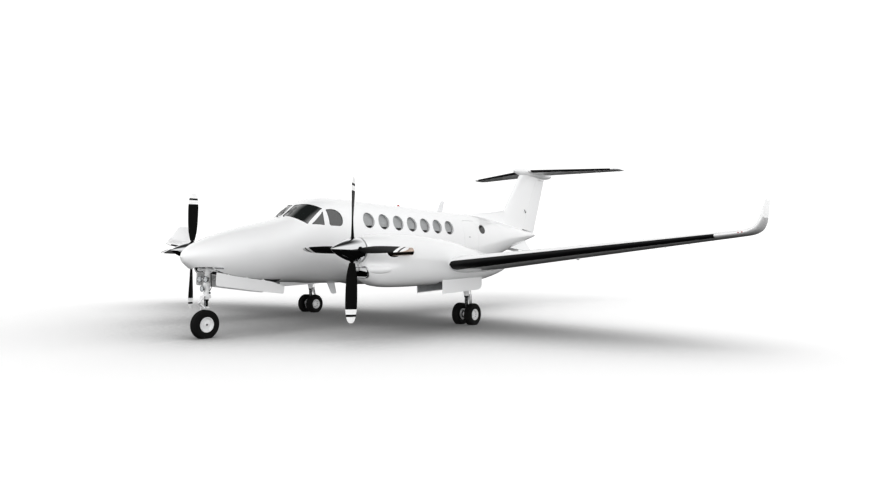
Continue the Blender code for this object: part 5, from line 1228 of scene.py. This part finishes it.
stairs = bmesh.new()
for k in range(STEP_COUNT):
    z = DOOR_SILL + 0.20 + 0.26 * k
    reach = hull_half_width(DOOR_MIDDLE, z) - 0.030
    turn = Matrix.Translation(at(reach, DOOR_MIDDLE, z)) @ Matrix.Rotation(STEP_LEAN, 4, "Y")
    block(stairs, (-STEP_DEPTH, -STEP_HALF, 0), (0, STEP_HALF, STEP_THICK), edge=0.006, turn=turn)
    block(stairs, (-STEP_DEPTH + 0.012, -STEP_HALF + 0.012, STEP_THICK - 0.002),
          (-0.012, STEP_HALF - 0.012, STEP_THICK + 0.003), edge=0.001, paint=1, turn=turn)
bar(stairs, at(DOOR_AXIS, DOOR_START + 0.10, DOOR_SILL), at(DOOR_AXIS, DOOR_END - 0.10, DOOR_SILL), 0.012)
bar(stairs, at(DOOR_AXIS, DOOR_START - 0.030, DOOR_SILL), at(DOOR_AXIS, DOOR_END + 0.030, DOOR_SILL), 0.007)
sheet_out(stairs, ((DOOR_EDGE - 0.100, DOOR_SILL + 0.004), (DOOR_AXIS, DOOR_SILL - 0.004),
                   (DOOR_AXIS, DOOR_SILL + 0.008), (DOOR_EDGE - 0.030, DOOR_SILL + 0.075),
                   (DOOR_EDGE - 0.100, DOOR_SILL + 0.075)), "Y",
          DOOR_START + 0.10, DOOR_END - 0.10)
handle_x = hull_half_width(*HANDLE)
block(stairs, at(handle_x - 0.01, HANDLE[0] - 0.045, HANDLE[1] - 0.012),
      at(handle_x + 0.001, HANDLE[0] + 0.045, HANDLE[1] + 0.012), edge=0.003, paint=1)
block(stairs, at(handle_x - 0.01, HANDLE[0] - 0.036, HANDLE[1] - 0.005),
      at(handle_x + 0.006, HANDLE[0] + 0.036, HANDLE[1] + 0.007), edge=0.003)
steps_piece = piece("airstair_steps", stairs, gear_enamel, tread_rubber)
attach(steps_piece, "airstair")
lugs = bmesh.new()
for start, end in ((DOOR_START - 0.036, DOOR_START - 0.008), (DOOR_END + 0.008, DOOR_END + 0.036)):
    block(lugs, at(DOOR_AXIS - 0.12, start, DOOR_SILL - 0.022),
          at(DOOR_AXIS + 0.014, end, DOOR_SILL + 0.014), edge=0.005)
door_lugs = piece("airstair_hinge_lugs", lugs, gloss_white)
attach(door_lugs, "airframe")

# Inside: a carpeted floor, an instrument panel with three blank displays, two
# crew seats and four rows of leather club seats, each cushion piped at its seam.
FLOOR_START, FLOOR_END, FLOOR_Z, FLOOR_THICK = 2.62, 8.72, 1.330, 0.030
SEAT_ROWS, CREW_ROW, SEAT_X = (4.62, 5.52, 6.42, 7.22), 3.20, 0.322
YOKE = ((-0.13, 0.09), (-0.14, 0.0), (-0.09, -0.035), (0.0, -0.02), (0.09, -0.035), (0.14, 0.0),
        (0.13, 0.09))
PANEL = ((2.64, 1.335), (2.78, 1.335), (2.78, 1.90), (2.86, 2.13), (2.62, 2.13), (2.55, 2.00), (2.62, 1.60))
# Loop carpet: wool, grey, tufted about 4 mm apart
carpet_wool = material("grey_wool_loop_carpet", "55565A", Roughness=0.95, Sheen_Weight=0.3)
grained(carpet_wool, 0.004, 0.6, 0.002, detail=0.0, kind="TexVoronoi")
# Seat leather: pale grey hide, finely grained, worn smoother in patches
seat_leather = material("pale_grey_leather", "A6A29A", Roughness=0.5)
grained(seat_leather, 0.0025, 0.25, 0.0004, detail=0.0, kind="TexVoronoi")
clouds(seat_leather, 7.0, "9A968E", "B2AEA6", detail=3.0)
# Panel paint: crackle black, flat so that it doesn't dazzle
panel_black = material("crackle_black_paint", "0E0F10", Roughness=0.85)
grained(panel_black, 0.003, 0.5, 0.0004, detail=3.0)
# Displays switched off: etched glass, black, with the marks of fingers
display_glass = material("switched_off_display_glass", "05080A", Roughness=0.08)
smears(display_glass, 30.0, 0.05, 0.14)

floor_shape = bmesh.new()
fall = (FLOOR_END - FLOOR_START) * math.tan(SIT)
sheet_out(floor_shape, ((FLOOR_START, FLOOR_Z - FLOOR_THICK), (FLOOR_END, FLOOR_Z - fall - FLOOR_THICK),
                        (FLOOR_END, FLOOR_Z - fall), (FLOOR_START, FLOOR_Z)), "X", -0.8, 0.8)
carpet = piece("cabin_carpet", floor_shape, carpet_wool)
room = bmesh.new()
loft(room, [oval(FUSELAGE, s, HULL_SIDES, WALL + 0.001) for s in stations(2.25, 9.30, 0.1)])
carve(carpet, room, keep=True)
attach(carpet, "airframe")
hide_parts("cabin_floor")

panel = bmesh.new()
sheet_out(panel, round_off(PANEL, (0.01, 0.01, 0.05, 0.02, 0.02, 0.03, 0.1)), "X", -0.46, 0.46)
for x in (-0.29, 0.0, 0.29):
    tilt = Matrix.Translation(at(x, 2.785, 1.99)) @ Matrix.Rotation(math.radians(-19), 4, "X")
    block(panel, (-0.125, -0.01, -0.085), (0.125, 0.012, 0.085), edge=0.006, turn=tilt)
    block(panel, (-0.112, 0.0, -0.074), (0.112, 0.014, 0.074), edge=0.001, paint=1, turn=tilt)
block(panel, at(-0.09, 2.80, 1.345), at(0.09, 3.05, 1.80), edge=0.02)
for x in (-0.06, -0.03, 0.0, 0.03, 0.06):
    bar(panel, at(x, 2.90, 1.79), at(x, 2.87, 1.89), 0.005, sides=10)
    bar(panel, at(x, 2.868, 1.885), at(x, 2.866, 1.905), 0.011, sides=12)
for side in (PORT, STARBOARD):
    bar(panel, at(side * SEAT_X, 2.78, 1.85), at(side * SEAT_X, 2.93, 1.87), 0.014)
    yoke = [at(side * SEAT_X + x, 2.93, 1.87 + z) for x, z in YOKE]
    tube(panel, smooth_route(yoke, 5), 0.013, sides=12)
board = piece("instrument_panel_shell", panel, panel_black, display_glass)
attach(board, "airframe")
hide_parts("instrument_panel")


def pad(name, turn, half, crown=0.22, creases=()):
    """A stuffed leather pad, crowned along its Z and drawn in at the sides, piped round its seam."""
    shape = bmesh.new()
    bmesh.ops.create_cube(shape, size=2.0)
    bmesh.ops.subdivide_edges(shape, edges=shape.edges, cuts=11, use_grid_fill=True)
    for vert in shape.verts:
        u, v, w = vert.co
        reach = (abs(u) ** 6 + abs(v) ** 6 + abs(w) ** 6) ** (1 / 6)
        u, v, w = u / reach, v / reach, w / reach
        swell = (1 - u * u) * (1 - v * v)
        dent = sum(0.10 * math.exp(-((v - c) / 0.05) ** 2) for c in creases)
        vert.co = turn @ Vector((u * half[0] * (1 - 0.04 * (1 - v * v) * (1 - abs(w))),
                                 v * half[1] * (1 - 0.04 * (1 - u * u) * (1 - abs(w))),
                                 w * half[2] * (1 - crown + crown * swell - dent)))
    seam = [turn @ Vector((half[0] * 0.985 * math.copysign(abs(math.cos(a)) ** 0.3, math.cos(a)),
                           half[1] * 0.985 * math.copysign(abs(math.sin(a)) ** 0.3, math.sin(a)), 0.0))
            for a in [2 * math.pi * k / 48 + 0.01 for k in range(48)]]
    tube(shape, seam, 0.004, sides=8, loop=True)
    made = piece(name, shape, seat_leather, sharp=60.0)
    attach(made, "airframe")


for kind, rows, spread in (("crew", (CREW_ROW,), SEAT_X - 0.04), ("cabin", SEAT_ROWS, SEAT_X)):
    frames = bmesh.new()
    for side, hand in ((PORT, "left"), (STARBOARD, "right")):
        for number, row in enumerate(rows, 1):
            x, z = side * spread, FLOOR_Z - (row - FLOOR_START) * math.tan(SIT)
            for wide, fore, rear, low, high, edge in (
                    (0.13, 0.20, 0.16, 0.005, 0.04, 0.01), (0.09, 0.12, 0.10, 0.03, 0.29, 0.02),
                    (0.19, 0.22, 0.17, 0.28, 0.32, 0.015)):
                block(frames, at(x - wide, row - fore, z + low), at(x + wide, row + rear, z + high),
                      edge=edge)
            for out in (-1, 1):
                block(frames, at(x + out * 0.195 - 0.014, row - 0.10, z + 0.52),
                      at(x + out * 0.195 + 0.014, row + 0.20, z + 0.56), edge=0.012)
            lean = Matrix.Rotation(math.radians(-10), 4, "X")
            pad(f"{kind}_seat_cushion_{hand}_{number}", Matrix.Translation(at(x, row - 0.045, z + 0.375)),
                (0.185, 0.20, 0.062), creases=(-0.35, 0.35))
            pad(f"{kind}_seat_back_{hand}_{number}", Matrix.Translation(at(x, row + 0.195, z + 0.63)) @ lean
                @ Matrix.Rotation(math.pi / 2, 4, "X"), (0.18, 0.23, 0.052), creases=(-0.4, 0.0, 0.4))
            pad(f"{kind}_headrest_{hand}_{number}", Matrix.Translation(at(x, row + 0.245, z + 0.925)) @ lean
                @ Matrix.Rotation(math.pi / 2, 4, "X"), (0.12, 0.075, 0.042))
    frame_piece = piece(f"{kind}_seat_frames", frames, panel_black)
    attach(frame_piece, "airframe")
    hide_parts(f"{kind}_seats")

# Landing gear: white enamelled steel legs round chromed pistons, scissor links
# that keep the wheels straight, forged wheels and ribbed tyres. The nose wheel
# steers, and three sealed lamps look forward from its leg.
NOSE_WHEEL, STRUT_TOP = (0.486, 0.262), (0.555, 1.360)
MAIN_WHEEL, TWIN_OFFSET = (5.383, 0.230), 0.165
NOSE_TYRE, MAIN_TYRE = (0.2795, 0.171, 0.1456), (0.2475, 0.170, 0.1226)  # radius, width, rim
NOSE_RIM, MAIN_RIM = (0.145, 0.075, 0.052, 0), (0.122, 0.072, 0.046, 9)  # rim, half width, hub, bolts
HOSE = ((1.30, 0.06, 0.03), (1.15, 0.064, 0.035), (0.98, 0.068, 0.05), (0.90, 0.05, 0.03))
BRAKE_HOSE = ((0.05, 0.02, 1.0), (0.075, 0.05, 0.78), (0.06, 0.11, 0.56), (0.062, 0.09, 0.40),
              (0.068, 0.03, 0.30))
HOUSING_LOW = 0.740
# Chrome plate on the pistons: a mirror, faintly streaked by oil
oleo_chrome = material("hard_chrome_plate", "D2D4D6", Metallic=1.0, Roughness=0.08)
smears(oleo_chrome, 25.0, 0.05, 0.20, detail=3.0)
# Tyre rubber: black, dull, a little greyed by runway dust
tyre_rubber = material("vulcanised_tyre_rubber", "0A0A0A", Roughness=0.8, Specular_IOR_Level=0.12)
clouds(tyre_rubber, 14.0, "070707", "121212", detail=6.0)
grained(tyre_rubber, 0.004, 0.3, 0.0005)
# Lamp glass: clear borosilicate, hot white where it gathers the sky
lamp_glass = material("clear_borosilicate", "F2F6F8", Roughness=0.02, IOR=1.47, Alpha=0.30)
smears(lamp_glass, 20.0, 0.01, 0.05)
# Cast steel left bare: brakes and knuckles, dark grey and granular
bare_steel = material("phosphated_steel", "4A4B4D", Metallic=0.8, Roughness=0.5)
grained(bare_steel, 0.003, 0.3, 0.0004, detail=3.0)
GEAR_FINISHES = (gear_enamel, oleo_chrome, seal_rubber, bare_steel)
CHROME, BLACK, BARE = 1, 2, 3  # places in the row of finishes, whose first is the enamel

nose_axle = at(0, *NOSE_WHEEL)
strut_way = (at(0, *STRUT_TOP) - nose_axle).normalized()
strut_turn = UP.rotation_difference(strut_way).to_matrix().to_4x4()


def on_strut(z):
    """The point of the nose strut's centre line at a height."""
    return nose_axle + strut_way * ((z - nose_axle.z) / strut_way.z)


def strut_lathe(shape, profile, paint=0, sides=40):
    """Turn a profile of (radius, height) round the nose strut."""
    lathe(shape, [(r, (z - HOUSING_LOW) / strut_way.z) for r, z in profile],
          Matrix.Translation(on_strut(HOUSING_LOW)) @ strut_turn, sides, paint)


def wheel_place(centre):
    """A frame at a wheel's centre, its Z axis pointing to port."""
    return Matrix.Translation(centre) @ Matrix.Rotation(math.pi / 2, 4, "Y")


def wheel(shape, centre, rim, half, hub, bolts):
    """A forged wheel with a stepped dish, a hub cap and any tie bolts on both sides."""
    dish = ((hub * 0.30, half * 0.86), (hub * 0.62, half * 0.84), (hub * 0.70, half * 0.72),
            (hub, half * 0.66), (hub * 1.06, half * 0.40), (rim * 0.74, half * 0.34),
            (rim * 0.80, half * 0.48),
            (rim * 0.86, half * 0.52), (rim * 0.90, half * 0.90), (rim * 0.94, half), (rim, half))
    lathe(shape, dish + tuple((r, -way) for r, way in reversed(dish)), wheel_place(centre), sides=72)
    for k in range(bolts):
        angle = 2 * math.pi * k / bolts
        y, z = rim * 0.66 * math.cos(angle), rim * 0.66 * math.sin(angle)
        for out in (-1, 1):
            foot, head = [centre + Vector((out * half * share, y, z)) for share in (0.30, 0.52)]
            bar(shape, foot, head, 0.0085, sides=6, paint=BARE)


def tyre(name, node, body, centre, radius, width, rim):
    """A tyre with three ribs' grooves, flat where it stands."""
    half, wall = width / 2, radius - 0.050
    side = [(rim, half * 0.78), (rim + 0.010, half * 0.90), (rim + 0.035, half * 0.985)]
    side += [(wall - 0.012 + 0.062 * math.sin(t), half * (0.52 + 0.48 * math.cos(t)))
             for t in [math.pi / 2 * k / 9 for k in range(10)]]
    tread = []
    for groove in (half * 0.30, 0.0, -half * 0.30):
        tread += [(radius, groove + 0.005), (radius - 0.007, groove + 0.003),
                  (radius - 0.007, groove - 0.003), (radius, groove - 0.005)]
    shape = bmesh.new()
    lathe(shape, side + tread + [(r, -way) for r, way in reversed(side)], wheel_place(centre), sides=120,
          loop=True)
    for vert in shape.verts:
        if vert.co.z < 0.03:
            vert.co.x += (vert.co.x - centre.x) * 0.10 * (1 - max(vert.co.z, 0.0) / 0.03)
        vert.co.z = max(vert.co.z, 0.0)
    made = piece(name, shape, tyre_rubber, sharp=28.0)
    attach(made, body)
    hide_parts(node)


def link(shape, start, end, half_start, half_end, thick, paint=0):
    """A flat tapering scissor link between two points, its width along X."""
    along = (end - start).normalized()
    out = along.cross(Vector((1, 0, 0))) * thick / 2
    rows = []
    for spot, half in ((start, half_start), (end, half_end)):
        rows.append([spot + Vector((half, 0, 0)) + out, spot - Vector((half, 0, 0)) + out,
                     spot - Vector((half, 0, 0)) - out, spot + Vector((half, 0, 0)) - out])
    loft(shape, rows, paint=paint)


def cross_pin(shape, spot, half, radius, paint=0):
    """A pin through a point, along X."""
    reach = Vector((half, 0, 0))
    bar(shape, spot - reach, spot + reach, radius, paint=paint)


leg = bmesh.new()
strut_lathe(leg, ((0.040, HOUSING_LOW), (0.055, HOUSING_LOW + 0.004), (0.055, 0.845), (0.062, 0.850),
                  (0.062, 0.880), (0.055, 0.885), (0.055, 0.995), (0.072, 1.000), (0.075, 1.006),
                  (0.075, 1.054), (0.072, 1.060), (0.055, 1.066), (0.052, 1.180), (0.058, 1.190),
                  (0.058, 1.240), (0.050, 1.250), (0.050, 1.350)))
brace_end = at(0, 1.20, 1.348)
bar(leg, on_strut(1.04), brace_end, 0.022)
cross_pin(leg, on_strut(1.04).lerp(brace_end, 0.46), 0.045, 0.026, BARE)
cross_pin(leg, at(0, 0.55, 1.305), 0.298, 0.030)
for side in (PORT, STARBOARD):
    bar(leg, at(side * 0.22, 0.55, 1.305), at(side * 0.298, 0.55, 1.305), 0.038)
    link(leg, on_strut(1.20), at(side * 0.20, 0.55, 1.305), 0.012, 0.02, 0.03)
    hose = smooth_route([on_strut(z) + Vector((side * x, y, 0)) for z, x, y in HOSE])
    tube(leg, hose, 0.007, sides=10, paint=BLACK)
cross_pin(leg, on_strut(0.862) + Vector((0, 0.02, 0)), 0.085, 0.016, BARE)
lenses = bmesh.new()
for x, z, radius in ((0.105, 1.125, 0.064), (-0.105, 1.125, 0.064), (0.0, 0.947, 0.058)):
    front = Vector((x, on_strut(z).y - 0.115, z))
    face = Matrix.Translation(front) @ Matrix.Rotation(-math.pi / 2, 4, "X")
    bar(leg, front + Vector((-x * 0.4, 0.045, 0)), on_strut(z), 0.020)
    lathe(leg, ((radius - 0.008, 0.006), (radius - 0.006, 0.0), (radius, 0.0), (radius, 0.014),
                (radius * 0.96, 0.018), (radius * 0.80, 0.042), (radius * 0.40, 0.050),
                (radius * 0.30, 0.044), (radius * 0.60, 0.036), (radius - 0.010, 0.012)),
          face, sides=48, paint=CHROME, loop=True)
    lathe(leg, ((0.001, 0.018), (0.010, 0.020), (0.012, 0.045), (radius * 0.5, 0.046), (0.001, 0.048)),
          face, sides=24, paint=CHROME)
    lathe(lenses, [((radius - 0.007) * math.sin(a), 0.010 - 0.009 * math.cos(a)) for a in
                   [max(0.02, math.pi / 2 * k / 8) for k in range(9)]] + [(0.001, 0.012)], face, sides=48)
nose_leg = piece("nose_leg_and_lamps", leg, *GEAR_FINISHES)
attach(nose_leg, "airframe")
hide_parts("nose_leg")
lamp_lenses = piece("nose_lamp_lenses", lenses, lamp_glass)
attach(lamp_lenses, "airframe")

fork = bmesh.new()
strut_lathe(fork, ((0.034, 0.572), (0.035, 0.575), (0.035, 0.95)), paint=CHROME)
strut_lathe(fork, ((0.0355, 0.715), (0.046, 0.716), (0.047, 0.722), (0.047, 0.734), (0.0355, 0.7355)),
            paint=BLACK)
block(fork, (-0.118, nose_axle.y - 0.035, 0.556), (0.050, nose_axle.y + 0.075, 0.604), edge=0.016)
# The fork has one arm, to starboard of the wheel
arm = []
for z, low, high in ((0.225, -0.020, 0.020), (0.236, -0.034, 0.034), (0.280, -0.037, 0.037),
                     (0.330, -0.026, 0.034), (0.560, -0.030, 0.068), (0.582, -0.026, 0.066)):
    arm.append([Vector((STARBOARD * x, nose_axle.y + s, z)) for x, s in
                ((0.094, low), (0.114, low), (0.118, low + 0.005), (0.118, high - 0.005), (0.114, high),
                 (0.094, high))])
loft(fork, arm)
lathe(fork, ((0.001, 0.116), (0.018, 0.117), (0.020, 0.124), (0.014, 0.128), (0.001, 0.128)),
      wheel_place(nose_axle) @ Matrix.Rotation(math.pi, 4, "Y"), sides=24, paint=CHROME)
strut_lathe(fork, ((0.0558, 0.772), (0.074, 0.771), (0.078, 0.776), (0.078, 0.824), (0.074, 0.829),
                   (0.0558, 0.828)))
knee = at(0, 0.356, 0.677)
collar_ear, fork_ear = on_strut(0.795) + Vector((0, -0.080, 0)), nose_axle + Vector((0, -0.030, 0.323))
link(fork, collar_ear, knee, 0.060, 0.026, 0.020)
link(fork, knee, fork_ear, 0.026, 0.060, 0.020)
for spot, half in ((collar_ear, 0.066), (knee, 0.040), (fork_ear, 0.066)):
    cross_pin(fork, spot, half, 0.015)
    cross_pin(fork, spot, half + 0.008, 0.008, BARE)
bar(fork, nose_axle - Vector((0.117, 0, 0)), nose_axle + Vector((0.072, 0, 0)), 0.020, paint=CHROME)
for x in (-0.03, 0.03):
    bar(fork, Vector((x, nose_axle.y - 0.035, 0.58)), Vector((x, nose_axle.y - 0.058, 0.58)), 0.011)
nose_fork = piece("nose_fork_and_links", fork, *GEAR_FINISHES)
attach(nose_fork, "nose_steering")
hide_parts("nose_fork")

rim_shape = bmesh.new()
wheel(rim_shape, nose_axle, *NOSE_RIM)
nose_rim = piece("nose_wheel_rim", rim_shape, *GEAR_FINISHES)
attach(nose_rim, "nose_wheel_set")
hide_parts("nose_wheel")
tyre("nose_tyre_ribbed", "nose_tyre", "nose_wheel_set", nose_axle, *NOSE_TYRE)

NOSE_DOOR = ((0.50, 1.006), (1.78, 0.812), (2.09, 0.775), (2.12, 0.915), (1.80, 1.040), (1.40, 1.100),
             (0.95, 1.172), (0.52, 1.262))
for side, hand in ((PORT, "left"), (STARBOARD, "right")):
    panel = bmesh.new()
    edges = (0.05, 0.3, 0.04, 0.03, 0.1, 0.1, 0.1, 0.02)
    sheet_out(panel, round_off(NOSE_DOOR, edges), "X", side * 0.339, side * 0.331)
    sheet_out(panel, round_off(draw_in(NOSE_DOOR, 0.018), edges), "X", side * 0.331, side * 0.325, paint=1)
    for station, low, high in ((0.80, 0.99, 1.20), (1.20, 0.93, 1.14), (1.60, 0.87, 1.08)):
        block(panel, at(side * 0.327 - 0.009, station - 0.03, low),
              at(side * 0.327 + 0.009, station + 0.03, high), edge=0.006, paint=1)
        bar(panel, at(side * 0.318, station, high - 0.04), at(side * 0.292, station, high + 0.05), 0.010,
            sides=12, paint=1)
    made = piece(f"nose_door_panel_{hand}", panel, gloss_white, gear_enamel)
    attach(made, "airframe")
    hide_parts(f"nose_door_{hand}")

for side, hand in ((PORT, "left"), (STARBOARD, "right")):
    hub = at(side * NACELLE_X, *MAIN_WHEEL)
    leg = bmesh.new()
    upright = Matrix.Translation((hub.x, hub.y, 0))
    lathe(leg, ((0.040, 0.640), (0.058, 0.644), (0.060, 0.690), (0.066, 0.700), (0.070, 0.730),
                (0.105, 0.940), (0.105, 0.955), (0.062, 0.985), (0.058, 1.02), (0.058, 1.298)),
          upright, sides=48)
    lathe(leg, ((0.045, 0.612), (0.050, 0.614), (0.052, 0.638), (0.045, 0.640)), upright, sides=32,
          paint=BLACK)
    lathe(leg, ((0.038, 0.330), (0.038, 0.640)), upright, sides=32, paint=CHROME)
    lathe(leg, ((0.030, 0.205), (0.050, 0.215), (0.054, 0.260), (0.050, 0.310), (0.046, 0.345),
                (0.038, 0.352)), upright, sides=40)
    cross_pin(leg, hub, 0.062, 0.054)
    brace_top = at(hub.x, 4.55, 1.270)
    bar(leg, Vector((hub.x, hub.y, 0.86)), brace_top, 0.024)
    cross_pin(leg, Vector((hub.x, hub.y, 0.86)).lerp(brace_top, 0.5), 0.05, 0.028, BARE)
    cross_pin(leg, Vector((hub.x, hub.y, 1.22)), 0.297, 0.036)
    bend = Vector((hub.x, hub.y + 0.16, 0.47))
    high_ear, low_ear = Vector((hub.x, hub.y + 0.062, 0.665)), Vector((hub.x, hub.y + 0.052, 0.30))
    link(leg, high_ear, bend, 0.055, 0.024, 0.020)
    link(leg, bend, low_ear, 0.024, 0.050, 0.020)
    for spot, half in ((high_ear, 0.058), (bend, 0.034), (low_ear, 0.054)):
        cross_pin(leg, spot, half, 0.014)
    for out in (-1, 1):
        place = wheel_place(hub) @ Matrix.Rotation(0 if out > 0 else math.pi, 4, "Y")
        lathe(leg, ((0.030, 0.064), (0.088, 0.065), (0.088, 0.077), (0.030, 0.078)), place, sides=48,
              paint=BARE, loop=True)
        hose = smooth_route([Vector((hub.x + out * x, hub.y + y, z)) for x, y, z in BRAKE_HOSE])
        tube(leg, hose, 0.006, sides=10, paint=BLACK)
    made = piece(f"main_leg_{hand}_detailed", leg, *GEAR_FINISHES)
    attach(made, "airframe")
    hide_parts(f"main_leg_{hand}")
    body = f"{hand}_main_wheels"
    rims = bmesh.new()
    cross_pin(rims, hub, 0.214, 0.025)
    for out in (-1, 1):
        centre = hub + Vector((out * TWIN_OFFSET, 0, 0))
        wheel(rims, centre, *MAIN_RIM)
        which = f"{hand}_outboard" if out == side else f"{hand}_inboard"
        tyre(f"main_tyre_ribbed_{which}", f"main_tyre_{which}", body, centre, *MAIN_TYRE)
    made = piece(f"main_wheel_rims_{hand}", rims, *GEAR_FINISHES)
    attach(made, body)
    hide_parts(f"main_wheels_{hand}")

# Aerials and probes: fibreglass blades painted white, steel wires and heated
# pitot tubes. Small lamps sit at the wing tips, the tail and on the spine.
def blade_aerial(shape, base, tip, base_chord, tip_chord, half, paint=0):
    """A blade aerial with a rounded foot and a rounded tip."""
    rows = []
    for share in (-0.02, 0.0, 0.03, 0.5, 0.9, 0.96, 0.99, 1.0):
        station, z = [a + (b - a) * share for a, b in zip(base, tip)]
        shrink = math.sqrt(max(0.02, 1 - max(0.0, (share - 0.9) / 0.1) ** 2))
        full = base_chord + (tip_chord - base_chord) * share
        chord, thick = full * shrink, half * (1 - 0.5 * share) * shrink
        station += full * (1 - shrink) / 2
        rows.append([at(thick * math.sin(2 * math.pi * k / 28), station + chord / 2
                        - chord / 2 * math.cos(2 * math.pi * k / 28), z) for k in range(28)])
    loft(shape, rows, paint=paint)


# Moulded glass-fibre under paint: matt white with a trace of weave
aerial_fibre = material("painted_glass_fibre", "E2E3E4", Roughness=0.45)
grained(aerial_fibre, 0.005, 0.15, 0.0003, detail=1.0)
# Lamp lenses: moulded polycarbonate, deep in colour, clouded a little by weather
red_lens = material("red_polycarbonate_lens", "B01812", Roughness=0.08, Coat_Weight=1.0)
clouds(red_lens, 60.0, "9C120D", "C01E16")
green_lens = material("green_polycarbonate_lens", "0F7A3A", Roughness=0.08, Coat_Weight=1.0)
clouds(green_lens, 60.0, "0B6A31", "148A43")
for name, node, spec in (
        ("top_aerial", "top_antenna", ((7.645, 2.715), (7.84, 3.04), 0.26, 0.16, 0.014)),
        ("belly_aerial", "belly_antenna", ((3.57, 0.965), (3.73, 0.675), 0.25, 0.16, 0.012))):
    shape = bmesh.new()
    blade_aerial(shape, *spec)
    made = piece(name, shape, aerial_fibre)
    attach(made, "airframe")
    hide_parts(node)

probes = bmesh.new()
PITOT = ((-0.02, 0.650, 1.325), (0.018, 0.635, 1.330), (0.030, 0.600, 1.340), (0.030, 0.450, 1.346))
TOWEL_BAR = ((11.954, 3.099), (12.214, 2.987), (12.29, 2.898), (12.514, 3.108))
for side in (PORT, STARBOARD):
    rail = smooth_route([at(side * (0.10 if 0 < k < 3 else 0.02), *p) for k, p in enumerate(TOWEL_BAR)])
    tube(probes, rail, 0.009, sides=12, paint=1)
    for station in (12.12, 12.26):
        z = 3.03 if station < 12.2 else 2.94
        bar(probes, at(side * 0.015, station, z), at(side * 0.10, station, z), 0.007, sides=12, paint=1)
    foot_x = hull_half_width(0.65, 1.33)
    pitot = smooth_route([at(side * (foot_x + x), s, z) for x, s, z in PITOT])
    tube(probes, pitot, 0.014, sides=16, paint=2)
mast = [at(0, 10.415, 2.80), at(0, 10.43, 2.87), at(0, 10.473, 2.957)]
tube(probes, mast, 0.007, sides=12, paint=0)
lathe(probes, ((0.045, -0.004), (0.043, 0.010), (0.034, 0.036), (0.020, 0.052), (0.004, 0.058)),
      Matrix.Translation(at(0, 6.05, 2.780)), sides=32, paint=3)
for side, lens in ((PORT, 3), (STARBOARD, 4)):
    for way in (0.33, 0.39):
        lead = winglet_place(way, side)[0]
        lathe(probes, ((0.011, -0.010), (0.011, 0.008), (0.008, 0.015), (0.002, 0.018)),
              Matrix.Translation(lead + Vector((0, 0.010, 0))) @ Matrix.Rotation(math.pi / 2, 4, "X"),
              sides=20, paint=lens)
    under = foil_skin(wing_place(WING_OUTER, 5.30, side), 0.72)[1]
    lathe(probes, ((0.035, 0.004), (0.033, -0.010), (0.024, -0.026), (0.004, -0.034)),
          Matrix.Translation(under), sides=24)
lathe(probes, ((0.022, -0.02), (0.022, 0.012), (0.014, 0.026), (0.003, 0.030)),
      Matrix.Translation(at(0, 14.185, 4.243)) @ Matrix.Rotation(-math.pi / 2, 4, "X"), sides=20)
details = piece("aerials_probes_and_lamps", probes, aerial_fibre, seal_rubber, oleo_chrome, red_lens,
                green_lens)
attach(details, "airframe")
